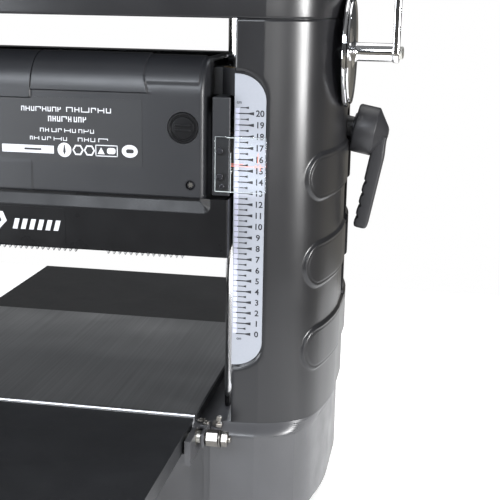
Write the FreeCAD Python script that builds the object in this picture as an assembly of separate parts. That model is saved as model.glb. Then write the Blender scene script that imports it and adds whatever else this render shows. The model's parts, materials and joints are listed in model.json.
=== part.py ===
import FreeCAD, Part
import math
import os

os.makedirs("parts", exist_ok=True)
V = FreeCAD.Vector

# Thickness planer. Millimetres, +X to the operator's right, +Y the way the board is fed, +Z up.
# The origin is the centre of the four bench bolts, on the bench.

# ---- driving dimensions ----
PLANING_WIDTH = 330.0
BED_HALF_X = PLANING_WIDTH / 2 + 1.0
BED_HALF_Y = 141.0
BED_TOP = 110.0
MAX_THICKNESS = 152.0
CUT_PLANE = BED_TOP + MAX_THICKNESS      # head fully raised, which is the rest pose

FOOT_HEIGHT = 14.0
BASE_TOP = 94.0
TOWER_FOOT = 102.0
TOWER_TOP = 470.0
TOP_COVER_TOP = 512.0
TOWER_IN_X = 199.0
TOWER_OUT_X = 284.5
TOWER_HALF_Y = 136.0
WALL = 4.0
DOOR_HALF_Y = 116.0
BENCH_X = 240.0
BENCH_Y = 100.0
BENCH_HOLE_R = 5.5

COLUMN_X = 197.0
COLUMN_Y = 94.0
COLUMN_R = 12.0
RUNNING_FIT = 0.05
SCREW_X = 240.0
SCREW_Y = -40.0
SCREW_R = 8.0
CRANK_Z = 440.0

SIDE_IN = 166.5
SIDE_OUT = 172.0
CUTTER_R = 24.0
CUTTER_Z = CUT_PLANE + CUTTER_R
ROLLER_Y = 62.0
ROLLER_R = 15.0
ROLLER_Z = CUT_PLANE + ROLLER_R - 1.0
MOTOR_Y = -95.0
MOTOR_Z = 377.5
BRUSH_X = 157.0
FRONT_Y = -150.0
SKIRT_BOTTOM = CUT_PLANE + 2.0
SKIRT_TOP = 303.0
BEVEL_TOP = 313.0
COVER_BOTTOM = 316.0
PAWL_Y = -141.0
PAWL_Z = 285.0
PAWL_TIP = CUT_PLANE - 1.8

SCALE_Y = -134.0
SCALE_LOW = 160.0
SCALE_HIGH = 424.0
SCALE_RIGHT = 226.6

SLOT_Y = 16.0
SLOT_HALF = 12.0
SLOT_LOW = 190.0
SLOT_HIGH = 383.0
LEVER_Z = 364.9
LEVER_TILT = 11.0
LEVER_HUB_R = 24.0
LEVER_LENGTH = 97.0

TABLE_REACH = 346.0
TABLE_TOP = 108.0
HINGE_Y = 164.0
HINGE_Z = 99.0


# ---- helpers ----
def box(x0, x1, y0, y1, z0, z1):
    return Part.makeBox(x1 - x0, y1 - y0, z1 - z0, V(x0, y0, z0))


def rod_x(r, x0, x1, y, z):
    return Part.makeCylinder(r, x1 - x0, V(x0, y, z), V(1, 0, 0))


def rod_y(r, y0, y1, x, z):
    return Part.makeCylinder(r, y1 - y0, V(x, y0, z), V(0, 1, 0))


def rod_z(r, z0, z1, x, y):
    return Part.makeCylinder(r, z1 - z0, V(x, y, z0), V(0, 0, 1))


def fuse(shapes):
    whole = shapes[0].multiFuse(shapes[1:]) if len(shapes) > 1 else shapes[0]
    return whole.removeSplitter()


def mirror_x(shape):
    return shape.mirror(V(0, 0, 0), V(1, 0, 0))


def mirror_y(shape):
    return shape.mirror(V(0, 0, 0), V(0, 1, 0))


def all_corners(shape):
    pair = [shape, mirror_x(shape)]
    return pair + [mirror_y(s) for s in pair]


def prism_x(points, x0, x1):
    """A closed outline in the YZ plane, carried along X."""
    wire = Part.makePolygon([V(x0, y, z) for y, z in points + points[:1]])
    return Part.Face(wire).extrude(V(x1 - x0, 0, 0))


def prism_y(points, y0, y1):
    """A closed outline in the XZ plane, carried along Y."""
    wire = Part.makePolygon([V(x, y0, z) for x, z in points + points[:1]])
    return Part.Face(wire).extrude(V(0, y1 - y0, 0))


def hull_plate(circles, grow, x0, x1):
    """The shape a tight belt encloses round circles (y, z, r) in the YZ plane, grown, along X."""
    steps = 48
    rim = []
    for y, z, r in circles:
        for k in range(steps):
            a = 2 * math.pi * k / steps
            rim.append((y + (r + grow) * math.cos(a), z + (r + grow) * math.sin(a)))
    rim.sort()

    def half(points):
        out = []
        for p in points:
            while len(out) > 1 and (out[-1][0] - out[-2][0]) * (p[1] - out[-2][1]) \
                    <= (out[-1][1] - out[-2][1]) * (p[0] - out[-2][0]):
                out.pop()
            out.append(p)
        return out[:-1]

    return prism_x(half(rim) + half(rim[::-1]), x0, x1)


def export(name, shape):
    solids = shape if isinstance(shape, list) else shape.Solids
    Part.makeCompound(solids).exportStep("parts/%s.step" % name)


# ---- tower outline, seen from above ----
def tower_face(inner_x, z):
    """Right tower: a nearly flat front, a broad round corner and a flat side, the same behind."""
    front = [V(inner_x, -TOWER_HALF_Y, z), V(224, -134.6, z), V(262, -118, z),
             V(277, -84, z), V(TOWER_OUT_X, -30, z)]
    mids = [V(244, -128.8, z), V(271.4, -103, z), V(282.4, -57.5, z)]
    edges = [Part.makeLine(front[0], front[1])]
    for k, mid in enumerate(mids):
        edges.append(Part.Arc(front[k + 1], mid, front[k + 2]).toShape())
    back = [V(p.x, -p.y, p.z) for p in front][::-1]
    edges.append(Part.makeLine(front[-1], back[0]))
    for k, mid in enumerate(mids[::-1]):
        edges.append(Part.Arc(back[k], V(mid.x, -mid.y, z), back[k + 1]).toShape())
    edges.append(Part.makeLine(back[-2], back[-1]))
    edges.append(Part.makeLine(back[-1], front[0]))
    return Part.Face(Part.Wire(edges))


def tower_solid(inner_x, z0, z1, grow=0.0):
    face = tower_face(inner_x, z0)
    if grow:
        face = face.makeOffset2D(grow)
    return face.extrude(V(0, 0, z1 - z0))


BAND_CENTRES = (333.5, 252.3, 171.8)
BAND_HALF = 20.8
BAND_PROUD = 2.5


def tower_bands():
    """Three raised bands with round ends, wrapped round the corners and along the side."""
    skin = tower_solid(TOWER_IN_X, TOWER_FOOT, TOWER_TOP, BAND_PROUD)
    skin = skin.cut(tower_solid(TOWER_IN_X, TOWER_FOOT, TOWER_TOP, -1.0))
    turn = math.degrees(math.atan2(0.914, 0.405))
    bands = []
    for zc in BAND_CENTRES:
        cut = box(0, 400, -90, 90, zc - BAND_HALF, zc + BAND_HALF)
        cut = cut.fuse(rod_y(BAND_HALF, -90, 90, 0, zc))
        cut.translate(V(5.0, 0, 0))
        cut.rotate(V(0, 0, 0), V(0, 0, 1), turn)
        cut.translate(V(270, -105, 0))
        band = skin.common(cut).common(mirror_y(cut)).common(box(262, 300, -140, 140, 100, 480))
        bands.append(band)
    return bands


def round_corner_plate(y0, y1, x_left, x_right, z_low, z_high, round_x, round_z):
    """A plate whose two right-hand corners are quarter ellipses."""
    steps = 14
    pts = [(x_left, z_high), (x_left, z_low)]
    for k in range(steps + 1):
        a = math.pi / 2 * k / steps
        pts.append((x_right - round_x + round_x * math.sin(a), z_low + round_z - round_z * math.cos(a)))
    for k in range(steps + 1):
        a = math.pi / 2 * k / steps
        pts.append((x_right - round_x + round_x * math.cos(a), z_high - round_z + round_z * math.sin(a)))
    return prism_y(pts, y0, y1)


def tower_shell():
    outer = fuse([tower_solid(TOWER_IN_X, TOWER_FOOT, TOWER_TOP)] + tower_bands())
    hollow = tower_solid(TOWER_IN_X, TOWER_FOOT, TOWER_TOP, -WALL)
    doorway = box(TOWER_IN_X - 1, TOWER_IN_X + WALL + 1, -DOOR_HALF_Y, DOOR_HALF_Y, TOWER_FOOT, TOWER_TOP)
    return outer.cut(hollow).cut(doorway)


def right_tower():
    shell = tower_shell()
    slot_ends = (SLOT_LOW + SLOT_HALF, SLOT_HIGH - SLOT_HALF)
    slot = box(270, 300, SLOT_Y - SLOT_HALF, SLOT_Y + SLOT_HALF, *slot_ends)
    for z in slot_ends:
        slot = slot.fuse(rod_x(SLOT_HALF, 270, 300, SLOT_Y, z))
    crank_hole = rod_x(9.5, 270, 300, SCREW_Y, CRANK_Z)
    pocket = round_corner_plate(-140, SCALE_Y + 0.8, 190, SCALE_RIGHT + 1.2, SCALE_LOW - 1.5,
                                SCALE_HIGH + 1.5, 27, 24)
    return shell.cut(slot).cut(crank_hole).cut(pocket)


export("tower_right", right_tower())

# ---- switch box on the left tower ----
SWITCH_X0, SWITCH_X1 = -258.0, -208.0
SWITCH_Z0, SWITCH_Z1 = 316.0, 412.0
SWITCH_Y0, SWITCH_Y1 = -152.0, -112.0
START_Z, STOP_Z = 388.0, 346.0
SWITCH_X = (SWITCH_X0 + SWITCH_X1) / 2

GLAND_X, GLAND_Z = -230.0, 128.0


def left_tower():
    shell = mirror_x(tower_shell())
    shell = shell.cut(box(SWITCH_X0, SWITCH_X1, -160, SWITCH_Y1, SWITCH_Z0, SWITCH_Z1))
    return shell.cut(rod_y(8.0, 100, 145, GLAND_X, GLAND_Z))


export("tower_left", left_tower())


def switch_box():
    body = box(SWITCH_X0, SWITCH_X1, SWITCH_Y0, SWITCH_Y1, SWITCH_Z0, SWITCH_Z1)
    front_edges = [e for e in body.Edges if e.BoundBox.YMax < SWITCH_Y0 + 1]
    body = body.makeFillet(4.0, front_edges)
    inside = box(SWITCH_X0 + 3, SWITCH_X1 - 3, SWITCH_Y0 + 3, SWITCH_Y1 - 3, SWITCH_Z0 + 3, SWITCH_Z1 - 3)
    body = body.cut(inside)
    body = body.cut(rod_y(13.0, SWITCH_Y0 - 1, SWITCH_Y0 + 5, SWITCH_X, START_Z))
    return body.cut(rod_y(15.0, SWITCH_Y0 - 1, SWITCH_Y0 + 5, SWITCH_X, STOP_Z))


def push_button(r, proud, z):
    """A round cap on a wider retaining skirt behind the panel."""
    cap = rod_y(r, SWITCH_Y0 - proud, SWITCH_Y0 + 6, SWITCH_X, z)
    rim = [e for e in cap.Edges if abs(e.BoundBox.YMax - (SWITCH_Y0 - proud)) < 1e-6]
    cap = cap.makeFillet(1.2, rim)
    return cap.fuse(rod_y(r + 1.2, SWITCH_Y0 + 6, SWITCH_Y0 + 9, SWITCH_X, z))


export("switch_box", switch_box())
export("start_button", push_button(12.6, 3.5, START_Z))
export("stop_button", push_button(14.6, 7.0, STOP_Z))
gland = fuse([rod_y(8.0, 128, 150, GLAND_X, GLAND_Z), rod_y(11.5, 136.4, 142, GLAND_X, GLAND_Z)])
export("cable_gland", gland.cut(rod_y(4.2, 120, 160, GLAND_X, GLAND_Z)))


# ---- base ----
BASE_IN = 182.0
BASE_SIDE = 280.0
BASE_FRONT = 146.0
BASE_WALL = 6.0


def hinge_bracket():
    """Front right: an ear beside the table with a stop lug under the flange."""
    ear = box(168.5, 174, -190, -137.9, 82, 105)
    lug = box(160, 174, -188, -176, 82, 92)
    return fuse([ear, lug]).cut(rod_x(3, 160, 176, -HINGE_Y, HINGE_Z))


def end_block(side_x, front_y, z0, z1):
    """The tower outline with its side moved to side_x and its front and back to front_y."""
    along_x = (side_x - BASE_IN) / (TOWER_OUT_X - BASE_IN)
    shift = FreeCAD.Matrix()
    shift.A11 = along_x
    shift.A14 = BASE_IN * (1 - along_x)
    shift.A22 = front_y / TOWER_HALF_Y
    return tower_face(BASE_IN, z0).transformGeometry(shift).extrude(V(0, 0, z1 - z0))


def base_end():
    """Upright below, with a ledge that steps in to the tower in front and behind."""
    low = end_block(BASE_SIDE, BASE_FRONT, FOOT_HEIGHT, BASE_TOP)
    steps = 5
    rise = (TOWER_FOOT - BASE_TOP) / steps
    ledge = []
    for k in range(steps):
        part = 1 - (k + 1) / (steps + 1)
        side = TOWER_OUT_X + part * (BASE_SIDE - TOWER_OUT_X)
        front = TOWER_HALF_Y + part * (BASE_FRONT - TOWER_HALF_Y)
        ledge.append(end_block(side, front, BASE_TOP + k * rise, BASE_TOP + (k + 1) * rise))
    return fuse([low] + ledge)


def base_casting():
    end = base_end()
    middle = box(-190, 190, -138, 138, FOOT_HEIGHT, BASE_TOP)
    rise_x, rise_y = BED_HALF_X - 2, BED_HALF_Y - 2
    bed_rise = box(-rise_x, rise_x, -rise_y, rise_y, BASE_TOP - 6, BED_TOP - 4)
    body = fuse([end, mirror_x(end), middle, bed_rise])
    end_hollow = end_block(BASE_SIDE - BASE_WALL, BASE_FRONT - BASE_WALL, FOOT_HEIGHT, BASE_TOP - 6)
    body = body.cut(end_hollow).cut(mirror_x(end_hollow))
    body = body.cut(box(-200, 200, -132, 132, FOOT_HEIGHT, BASE_TOP - 6))
    body = body.cut(box(-156, 156, -131, 131, BASE_TOP - 7, BED_TOP - 9))
    bosses = all_corners(rod_z(16, FOOT_HEIGHT, BASE_TOP - 5, BENCH_X, BENCH_Y))
    ribs = [box(x - 3, x + 3, -133, 133, 72, BED_TOP - 8) for x in (-100, 0, 100)]
    joins = all_corners(box(176, 200, -TOWER_HALF_Y - 8, -131, FOOT_HEIGHT, BASE_TOP))
    body = fuse([body] + bosses + ribs + joins + all_corners(hinge_bracket()))
    for hole in all_corners(rod_z(BENCH_HOLE_R, FOOT_HEIGHT - 1, FOOT_HEIGHT + 45, BENCH_X, BENCH_Y)):
        body = body.cut(hole)
    for hole in all_corners(rod_z(COLUMN_R, 80, TOWER_FOOT + 1, COLUMN_X, COLUMN_Y)):
        body = body.cut(hole)
    for x in (-SCREW_X, SCREW_X):
        body = body.cut(rod_z(SCREW_R + RUNNING_FIT, 80, TOWER_FOOT + 1, x, SCREW_Y))
    return body


export("base_casting", base_casting())
foot = rod_z(18, 0, FOOT_HEIGHT, BENCH_X, BENCH_Y)
foot = foot.makeChamfer(2.0, [e for e in foot.Edges if e.BoundBox.ZMax < 0.1])
export("rubber_feet", all_corners(foot.cut(rod_z(BENCH_HOLE_R, -1, 20, BENCH_X, BENCH_Y))))
export("base_cover", box(-199, 199, -131, 131, 16, 17.5))


def bed_plate():
    r = 3.0
    top = box(-BED_HALF_X, BED_HALF_X, -BED_HALF_Y, BED_HALF_Y, BED_TOP - 4, BED_TOP)
    lip = box(-BED_HALF_X, BED_HALF_X, -BED_HALF_Y, -BED_HALF_Y + 2, BED_TOP - 16, BED_TOP - 3)
    plate = fuse([top, lip, mirror_y(lip)])
    edges = [e for e in plate.Edges if e.BoundBox.XLength > 300 and e.BoundBox.ZMin > BED_TOP - 0.1]
    return plate.makeFillet(r, edges)


export("bed_plate", bed_plate())
export("guide_columns", all_corners(rod_z(COLUMN_R, 84, TOWER_TOP, COLUMN_X, COLUMN_Y)))

# ---- scale ----
export("scale_plate", round_corner_plate(SCALE_Y, SCALE_Y + 0.8, TOWER_IN_X, SCALE_RIGHT, SCALE_LOW,
                                         SCALE_HIGH, 26, 23))


# ---- top frame and cover ----
def top_outline(z0, z1, grow):
    half = tower_solid(-20.0, z0, z1, grow)
    half = half.common(box(0, 400, -200, 200, 0, 600))
    return fuse([half, mirror_x(half)])


def top_cover():
    outer = fuse([top_outline(TOWER_TOP, TOP_COVER_TOP - 8, 0.0),
                  top_outline(TOP_COVER_TOP - 8, TOP_COVER_TOP - 3, -3.0),
                  top_outline(TOP_COVER_TOP - 3, TOP_COVER_TOP, -8.0)])
    shell = outer.cut(top_outline(TOWER_TOP, TOP_COVER_TOP - 4, -12.0))
    window = top_outline(TOWER_TOP, TOWER_TOP + 6, -4.0)
    return shell.cut(window)


export("top_frame", top_outline(TOWER_TOP, TOWER_TOP + 6, -4.0))
RETURN_Y, RETURN_Z, RETURN_R, RETURN_HALF = 88.0, 524.0, 11.0, 130.0


def return_brackets():
    out = []
    for x in (-RETURN_HALF - 9, RETURN_HALF + 4):
        for y in (-RETURN_Y, RETURN_Y):
            foot = box(x, x + 5, y - 12, y + 12, TOP_COVER_TOP, RETURN_Z)
            ear = foot.fuse(rod_x(12, x, x + 5, y, RETURN_Z))
            out.append(ear.cut(rod_x(4 + RUNNING_FIT, x - 1, x + 6, y, RETURN_Z)))
    return out


def return_roller(y):
    drum = rod_x(RETURN_R, -RETURN_HALF, RETURN_HALF, y, RETURN_Z)
    return fuse([drum, rod_x(4, -RETURN_HALF - 9, RETURN_HALF + 9, y, RETURN_Z)])


export("top_cover", fuse([top_cover()] + return_brackets()))
export("return_roller_front", return_roller(-RETURN_Y))
export("return_roller_rear", return_roller(RETURN_Y))


# ---- lifting gear: screws, mitre gears, crank, chain ----
MITRE_TEETH = 16
MITRE_R = 20.0
MITRE_FACE = 8.0
TOOTH_HIGH = 1.9
TOOTH_LOW = 2.4


def mitre_gear(phase):
    """Axis +Z, apex at the origin, large end down at z = -MITRE_R."""
    root_big = MITRE_R - TOOTH_LOW * 0.707
    root_small = root_big * (MITRE_R - MITRE_FACE) / MITRE_R
    z_big = -(MITRE_R + TOOTH_LOW * 0.707)
    z_small = z_big * (MITRE_R - MITRE_FACE) / MITRE_R
    core = Part.makeCone(root_big, root_small, z_small - z_big, V(0, 0, z_big))
    step = 2 * math.pi / MITRE_TEETH

    def section(scale):
        pts = []
        for reach, width in ((-TOOTH_LOW - 0.6, 0.30), (TOOTH_HIGH, 0.14)):
            r = (MITRE_R + reach * 0.707) * scale
            z = (-MITRE_R + reach * 0.707) * scale
            half = MITRE_R * step * width * scale
            pts.append((r, half, z))
        low, high = pts
        ring = [V(low[0], -low[1], low[2]), V(high[0], -high[1], high[2]),
                V(high[0], high[1], high[2]), V(low[0], low[1], low[2])]
        return Part.makePolygon(ring + ring[:1])

    tooth = Part.makeLoft([section(1.0), section((MITRE_R - MITRE_FACE) / MITRE_R)], True, True)
    teeth = []
    for k in range(MITRE_TEETH):
        t = tooth.copy()
        t.rotate(V(0, 0, 0), V(0, 0, 1), math.degrees(step) * (k + phase))
        teeth.append(t)
    hub = rod_z(12, z_big - 6, z_big, 0, 0)
    return fuse([core, hub] + teeth)


APEX = V(SCREW_X, SCREW_Y, CRANK_Z)
SCREW_GEAR_TOP = CRANK_Z - MITRE_R + MITRE_FACE
screw_gear = mitre_gear(0.0)
screw_gear.translate(APEX)
screw_gear = screw_gear.cut(rod_z(SCREW_R - 2, 380, CRANK_Z, SCREW_X, SCREW_Y))
export("screw_bevel_gear", screw_gear)
pinion = mitre_gear(0.5)
pinion.rotate(V(0, 0, 0), V(0, 1, 0), -90)
pinion.translate(APEX)
CRANK_R = 7.0
pinion = pinion.cut(rod_x(CRANK_R, 230, 300, SCREW_Y, CRANK_Z))


def lead_screw(x, top, neck_top):
    body = rod_z(SCREW_R, 60, top, x, SCREW_Y)
    return fuse([body, rod_z(SCREW_R - 2, top, neck_top, x, SCREW_Y)])


SPROCKET_R = 22.0
SPROCKET_Z0, SPROCKET_Z1 = 62.0, 67.0


def sprocket_z(x):
    teeth = 16
    wheel = rod_z(SPROCKET_R - 3, SPROCKET_Z0, SPROCKET_Z1, x, SCREW_Y)
    tooth = box(x, x + SPROCKET_R, SCREW_Y - 1.6, SCREW_Y + 1.6, SPROCKET_Z0, SPROCKET_Z1)
    out = [wheel, rod_z(13, SPROCKET_Z1, SPROCKET_Z1 + 6, x, SCREW_Y)]
    for k in range(teeth):
        t = tooth.copy()
        t.rotate(V(x, SCREW_Y, 0), V(0, 0, 1), 360.0 * k / teeth)
        out.append(t)
    return fuse(out).cut(rod_z(SCREW_R, 50, 90, x, SCREW_Y))


export("lead_screw_right", [lead_screw(SCREW_X, 410, 426), sprocket_z(SCREW_X)])
export("lead_screw_left", [lead_screw(-SCREW_X, 410, 416), sprocket_z(-SCREW_X)])


def sync_chain():
    def loop(r):
        run = box(-SCREW_X, SCREW_X, SCREW_Y - r, SCREW_Y + r, SPROCKET_Z0, SPROCKET_Z1)
        ends = [rod_z(r, SPROCKET_Z0, SPROCKET_Z1, x, SCREW_Y) for x in (-SCREW_X, SCREW_X)]
        return fuse([run] + ends)
    return loop(SPROCKET_R + 4.5).cut(loop(SPROCKET_R + 0.4))


export("sync_chain", sync_chain())


def screw_block(with_crank):
    y0, y1 = SCREW_Y - 18, SCREW_Y + 34
    web = box(SCREW_X - 18, SCREW_X + 38, y1 - 6, y1, 396, TOWER_TOP)
    arm = box(SCREW_X - 18, SCREW_X + 18, y0, y1, 396, 406)
    parts = [web, arm]
    if with_crank:
        parts.append(box(SCREW_X + 30, SCREW_X + 38, y0, y1, CRANK_Z - 16, TOWER_TOP))
    block = fuse(parts).cut(rod_z(SCREW_R + RUNNING_FIT, 390, 408, SCREW_X, SCREW_Y))
    if with_crank:
        block = block.cut(rod_x(CRANK_R + RUNNING_FIT, SCREW_X + 20, SCREW_X + 50, SCREW_Y, CRANK_Z))
    return block


export("screw_bearing_blocks", [screw_block(True), mirror_x(screw_block(False))])

CRANK_DISC_R = 48.0
CRANK_NECK_R = 8.5
CRANK_ARM_X = 328.0
CRANK_ARM = 110.0
export("crank_shaft", [rod_x(CRANK_R, SCREW_X + 13, CRANK_ARM_X + 6, SCREW_Y, CRANK_Z), pinion])


def crank_disc():
    """A flat round cover on a wider flange, with a neck, turned with the shaft."""
    x0 = TOWER_OUT_X + 0.6
    flange, groove, face = x0 + 4.0, x0 + 4.6, x0 + 7.2
    r = CRANK_DISC_R
    outline = [(x0, 0), (x0, r + 2), (x0 + 1, r + 3), (flange, r + 3), (flange, r - 2), (groove, r - 2),
               (groove, r), (face - 0.8, r), (face, r - 0.8), (face, 12), (face + 4, CRANK_NECK_R),
               (CRANK_ARM_X, CRANK_NECK_R), (CRANK_ARM_X, 0), (x0, 0)]
    section = Part.Face(Part.makePolygon([V(x, out, 0) for x, out in outline]))
    disc = section.revolve(V(0, 0, 0), V(1, 0, 0), 360)
    disc.translate(V(0, SCREW_Y, CRANK_Z))
    return disc.cut(rod_x(CRANK_R, 250, 350, SCREW_Y, CRANK_Z))


export("crank_disc", crank_disc())


def crank_arm():
    x0, x1 = CRANK_ARM_X, CRANK_ARM_X + 6
    tip = CRANK_Z + CRANK_ARM
    bar = box(x0, x1, SCREW_Y - 9, SCREW_Y + 9, CRANK_Z, tip)
    arm = fuse([bar, rod_x(9.5, x0, x1, SCREW_Y, CRANK_Z), rod_x(9, x0, x1, SCREW_Y, tip)])
    arm = arm.cut(rod_x(CRANK_R, x0 - 1, x1 + 1, SCREW_Y, CRANK_Z))
    pin = fuse([rod_x(4, x1, x1 + 64, SCREW_Y, tip), rod_x(6, x1 + 64, x1 + 67, SCREW_Y, tip)])
    return fuse([arm, pin])


export("crank_arm", crank_arm())


def crank_grip():
    x0 = CRANK_ARM_X + 8
    tip = CRANK_Z + CRANK_ARM
    length = 60.0
    points = [V(x0, 9, 0), V(x0 + length * 0.35, 13.5, 0), V(x0 + length, 11.5, 0)]
    edges = [Part.makeLine(V(x0, 4 + RUNNING_FIT, 0), points[0]),
             Part.Arc(points[0], points[1], points[2]).toShape(),
             Part.makeLine(points[2], V(x0 + length, 4 + RUNNING_FIT, 0)),
             Part.makeLine(V(x0 + length, 4 + RUNNING_FIT, 0), V(x0, 4 + RUNNING_FIT, 0))]
    grip = Part.Face(Part.Wire(edges)).revolve(V(0, 0, 0), V(1, 0, 0), 360)
    grip.translate(V(0, SCREW_Y, tip))
    return grip


export("crank_grip", crank_grip())


# ---- head ----
# feed gears, module 1: teeth of each wheel, and its centre (y, z)
CUTTER_PINION, GEAR1, PINION1, GEAR2, PINION2, GEAR3 = 10, 50, 12, 48, 12, 36
GEAR1_AT = (18.0, CUTTER_Z + 24.0)
GEAR2_AT = (-12.0, CUTTER_Z + 24.0)
GEAR3_AT = (12.0, CUTTER_Z + 24.0)
STAGE1 = (173.5, 179.0)
STAGE2 = (179.6, 184.6)
STAGE3 = (185.2, 189.2)
SPROCKETS = (190.2, 193.0)
AXLE_R = 3.5
EARS_RIGHT = ((345.0, 369.0), (403.0, 427.0))
EARS_LEFT = ((288.0, 312.0), (403.0, 427.0))
ARM_RIGHT = (350.0, 382.0)
ARM_LEFT = (374.0, 392.0)


def lever_point(s, t):
    """A point s along the tilted lever axis and t down the arm, in the XZ plane."""
    a = math.radians(LEVER_TILT)
    return V(TOWER_OUT_X + s * math.cos(a) - t * math.sin(a), SLOT_Y,
             LEVER_Z - s * math.sin(a) - t * math.cos(a))


LEVER_AXIS = lever_point(1, 0) - lever_point(0, 0)


def rod_lever(r, s0, s1):
    return Part.makeCylinder(r, s1 - s0, lever_point(s0, 0), LEVER_AXIS)


def head_side(ears, arm):
    plate = box(SIDE_IN, SIDE_OUT, -112, 112, SKIRT_BOTTOM + 2, 430)
    parts = [plate]
    for y in (-COLUMN_Y, COLUMN_Y):
        for z0, z1 in ears:
            ring = rod_z(19, z0, z1, COLUMN_X, y)
            web = box(SIDE_OUT - 1, COLUMN_X, y - 12, y + 12, z0, z1)
            parts.append(ring.fuse(web))
    parts.append(box(SIDE_OUT - 1, SCREW_X + 18, SCREW_Y - 18, SCREW_Y + 18, *arm))
    side = fuse(parts)
    for y in (-COLUMN_Y, COLUMN_Y):
        side = side.cut(rod_z(16, 270, 440, COLUMN_X, y))
        roller = ROLLER_Y if y > 0 else -ROLLER_Y
        side = side.cut(box(SIDE_IN - 1, SIDE_OUT + 1, roller - 10, roller + 10, 260, ROLLER_Z + 30))
    side = side.cut(rod_z(13, arm[0] - 1, arm[1] + 1, SCREW_X, SCREW_Y))
    return side.cut(rod_x(17, SIDE_IN - 1, SIDE_OUT + 1, 0, CUTTER_Z))


def head_casting():
    right = head_side(EARS_RIGHT, ARM_RIGHT)
    lock_arm = box(SCREW_X, SCREW_X + 22, SCREW_Y + 17, SLOT_Y + 14, 352, 384)
    boss = rod_lever(10, -30, 5)
    right = fuse([right, lock_arm, boss]).cut(rod_lever(5 + RUNNING_FIT, -28, 6))
    left = mirror_x(head_side(EARS_LEFT, ARM_LEFT))
    deck = box(-SIDE_IN - 1, SIDE_IN + 1, -42, 112, 334, 340)
    front_beam = box(-SIDE_IN - 1, SIDE_IN + 1, -112, -106, 270, 326)
    rear_beam = box(-SIDE_IN - 1, SIDE_IN + 1, 100, 112, SKIRT_BOTTOM + 2, 276)
    saddle = [box(x - 6, x + 6, -112, -34, 318, 336) for x in (-110, 20, 140)]
    axles = [rod_x(AXLE_R, SIDE_OUT - 1, STAGE2[1], *GEAR1_AT),
             rod_x(AXLE_R, SIDE_OUT - 1, STAGE3[1], *GEAR2_AT)]
    body = fuse([right, left, deck, front_beam, rear_beam] + saddle + axles)
    motor_room = rod_x(48, -SIDE_IN, SIDE_IN, MOTOR_Y, MOTOR_Z)
    motor_shaft = rod_x(9, -SIDE_OUT - 1, -SIDE_IN + 1, MOTOR_Y, MOTOR_Z)
    return body.cut(motor_room).cut(motor_shaft)


export("head_casting", head_casting())


def column_bushes():
    out = []
    for side, ears in ((1, EARS_RIGHT), (-1, EARS_LEFT)):
        for y in (-COLUMN_Y, COLUMN_Y):
            for z0, z1 in ears:
                bush = rod_z(16, z0, z1, side * COLUMN_X, y)
                out.append(bush.cut(rod_z(COLUMN_R + RUNNING_FIT, z0 - 1, z1 + 1, side * COLUMN_X, y)))
    return out


export("column_bushes", column_bushes())


def lift_nut(x, arm):
    low, high = arm
    nut = fuse([rod_z(13, low - 4, high, x, SCREW_Y), rod_z(17, low - 8, low, x, SCREW_Y)])
    return nut.cut(rod_z(SCREW_R + RUNNING_FIT, low - 10, high + 2, x, SCREW_Y))


export("lift_nuts", [lift_nut(SCREW_X, ARM_RIGHT), lift_nut(-SCREW_X, ARM_LEFT)])

# ---- front skirt and motor cover ----
SKIRT_HALF = 197.0
SHEET = 3.0
BEVEL_BACK = FRONT_Y + 4.5
skirt_front = [(FRONT_Y, SKIRT_BOTTOM), (FRONT_Y, SKIRT_TOP), (BEVEL_BACK, BEVEL_TOP), (-112, BEVEL_TOP)]
skirt_profile = skirt_front + [(-112, BEVEL_TOP - SHEET), (BEVEL_BACK + 2, BEVEL_TOP - SHEET),
                               (FRONT_Y + SHEET, SKIRT_TOP - 1), (FRONT_Y + SHEET, SKIRT_BOTTOM)]
end_profile = skirt_front + [(-112, SKIRT_BOTTOM + 10)]
skirt = fuse([prism_x(skirt_profile, -SKIRT_HALF, SKIRT_HALF),
              prism_x(end_profile, -SKIRT_HALF, -SKIRT_HALF + SHEET),
              prism_x(end_profile, SKIRT_HALF - SHEET, SKIRT_HALF)])
for side in (-1, 1):
    skirt = skirt.cut(rod_z(COLUMN_R + 8, 250, 320, side * COLUMN_X, -COLUMN_Y))
export("front_skirt", skirt)

COVER_HALF = 175.5
COVER_TOP = 434.0
COVER_BACK = -44.0


def cover_outline(inset, x):
    """The cover's section: upright front, a quarter-round shoulder and a flat top."""
    r = 32.0 - inset
    front = FRONT_Y + inset
    top = COVER_TOP - inset
    a = V(x, front, COVER_BOTTOM)
    b = V(x, front, top - r)
    mid = V(x, front + r * (1 - math.sqrt(0.5)), top - r * (1 - math.sqrt(0.5)))
    c = V(x, front + r, top)
    d = V(x, COVER_BACK, top)
    e = V(x, COVER_BACK, COVER_BOTTOM)
    edges = [Part.makeLine(a, b), Part.Arc(b, mid, c).toShape(), Part.makeLine(c, d), Part.makeLine(d, e),
             Part.makeLine(e, a)]
    return Part.Face(Part.Wire(edges))


def motor_cover():
    outer = cover_outline(0, -COVER_HALF).extrude(V(2 * COVER_HALF, 0, 0))
    inner = cover_outline(SHEET, -COVER_HALF + 2).extrude(V(2 * COVER_HALF - 4, 0, 0))
    lip = cover_outline(-2.5, 19).extrude(V(104, 0, 0)).common(box(0, 200, -160, -70, 409, 450))
    shell = fuse([outer, lip]).cut(inner)
    shell = shell.cut(box(-200, 200, -112, 0, 300, 428))
    shell = shell.cut(rod_y(13.8, FRONT_Y - 2, FRONT_Y + 6, BRUSH_X, MOTOR_Z))
    ears = [rod_z(COLUMN_R + 9, 300, 440, side * COLUMN_X, -COLUMN_Y) for side in (-1, 1)]
    for ear in ears:
        shell = shell.cut(ear)
    return shell


export("motor_cover", motor_cover())

# ---- indicator ----
bracket = box(181, 196.6, -142, -138, 318, 404).fuse(box(181, 192, -139, -113.2, 389, 404))
export("indicator_bracket", bracket)
export("indicator_plate", box(184, 229, -145, -142, 322, 371))

# ---- motor ----
STATOR = (-70.0, 50.0)


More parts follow.
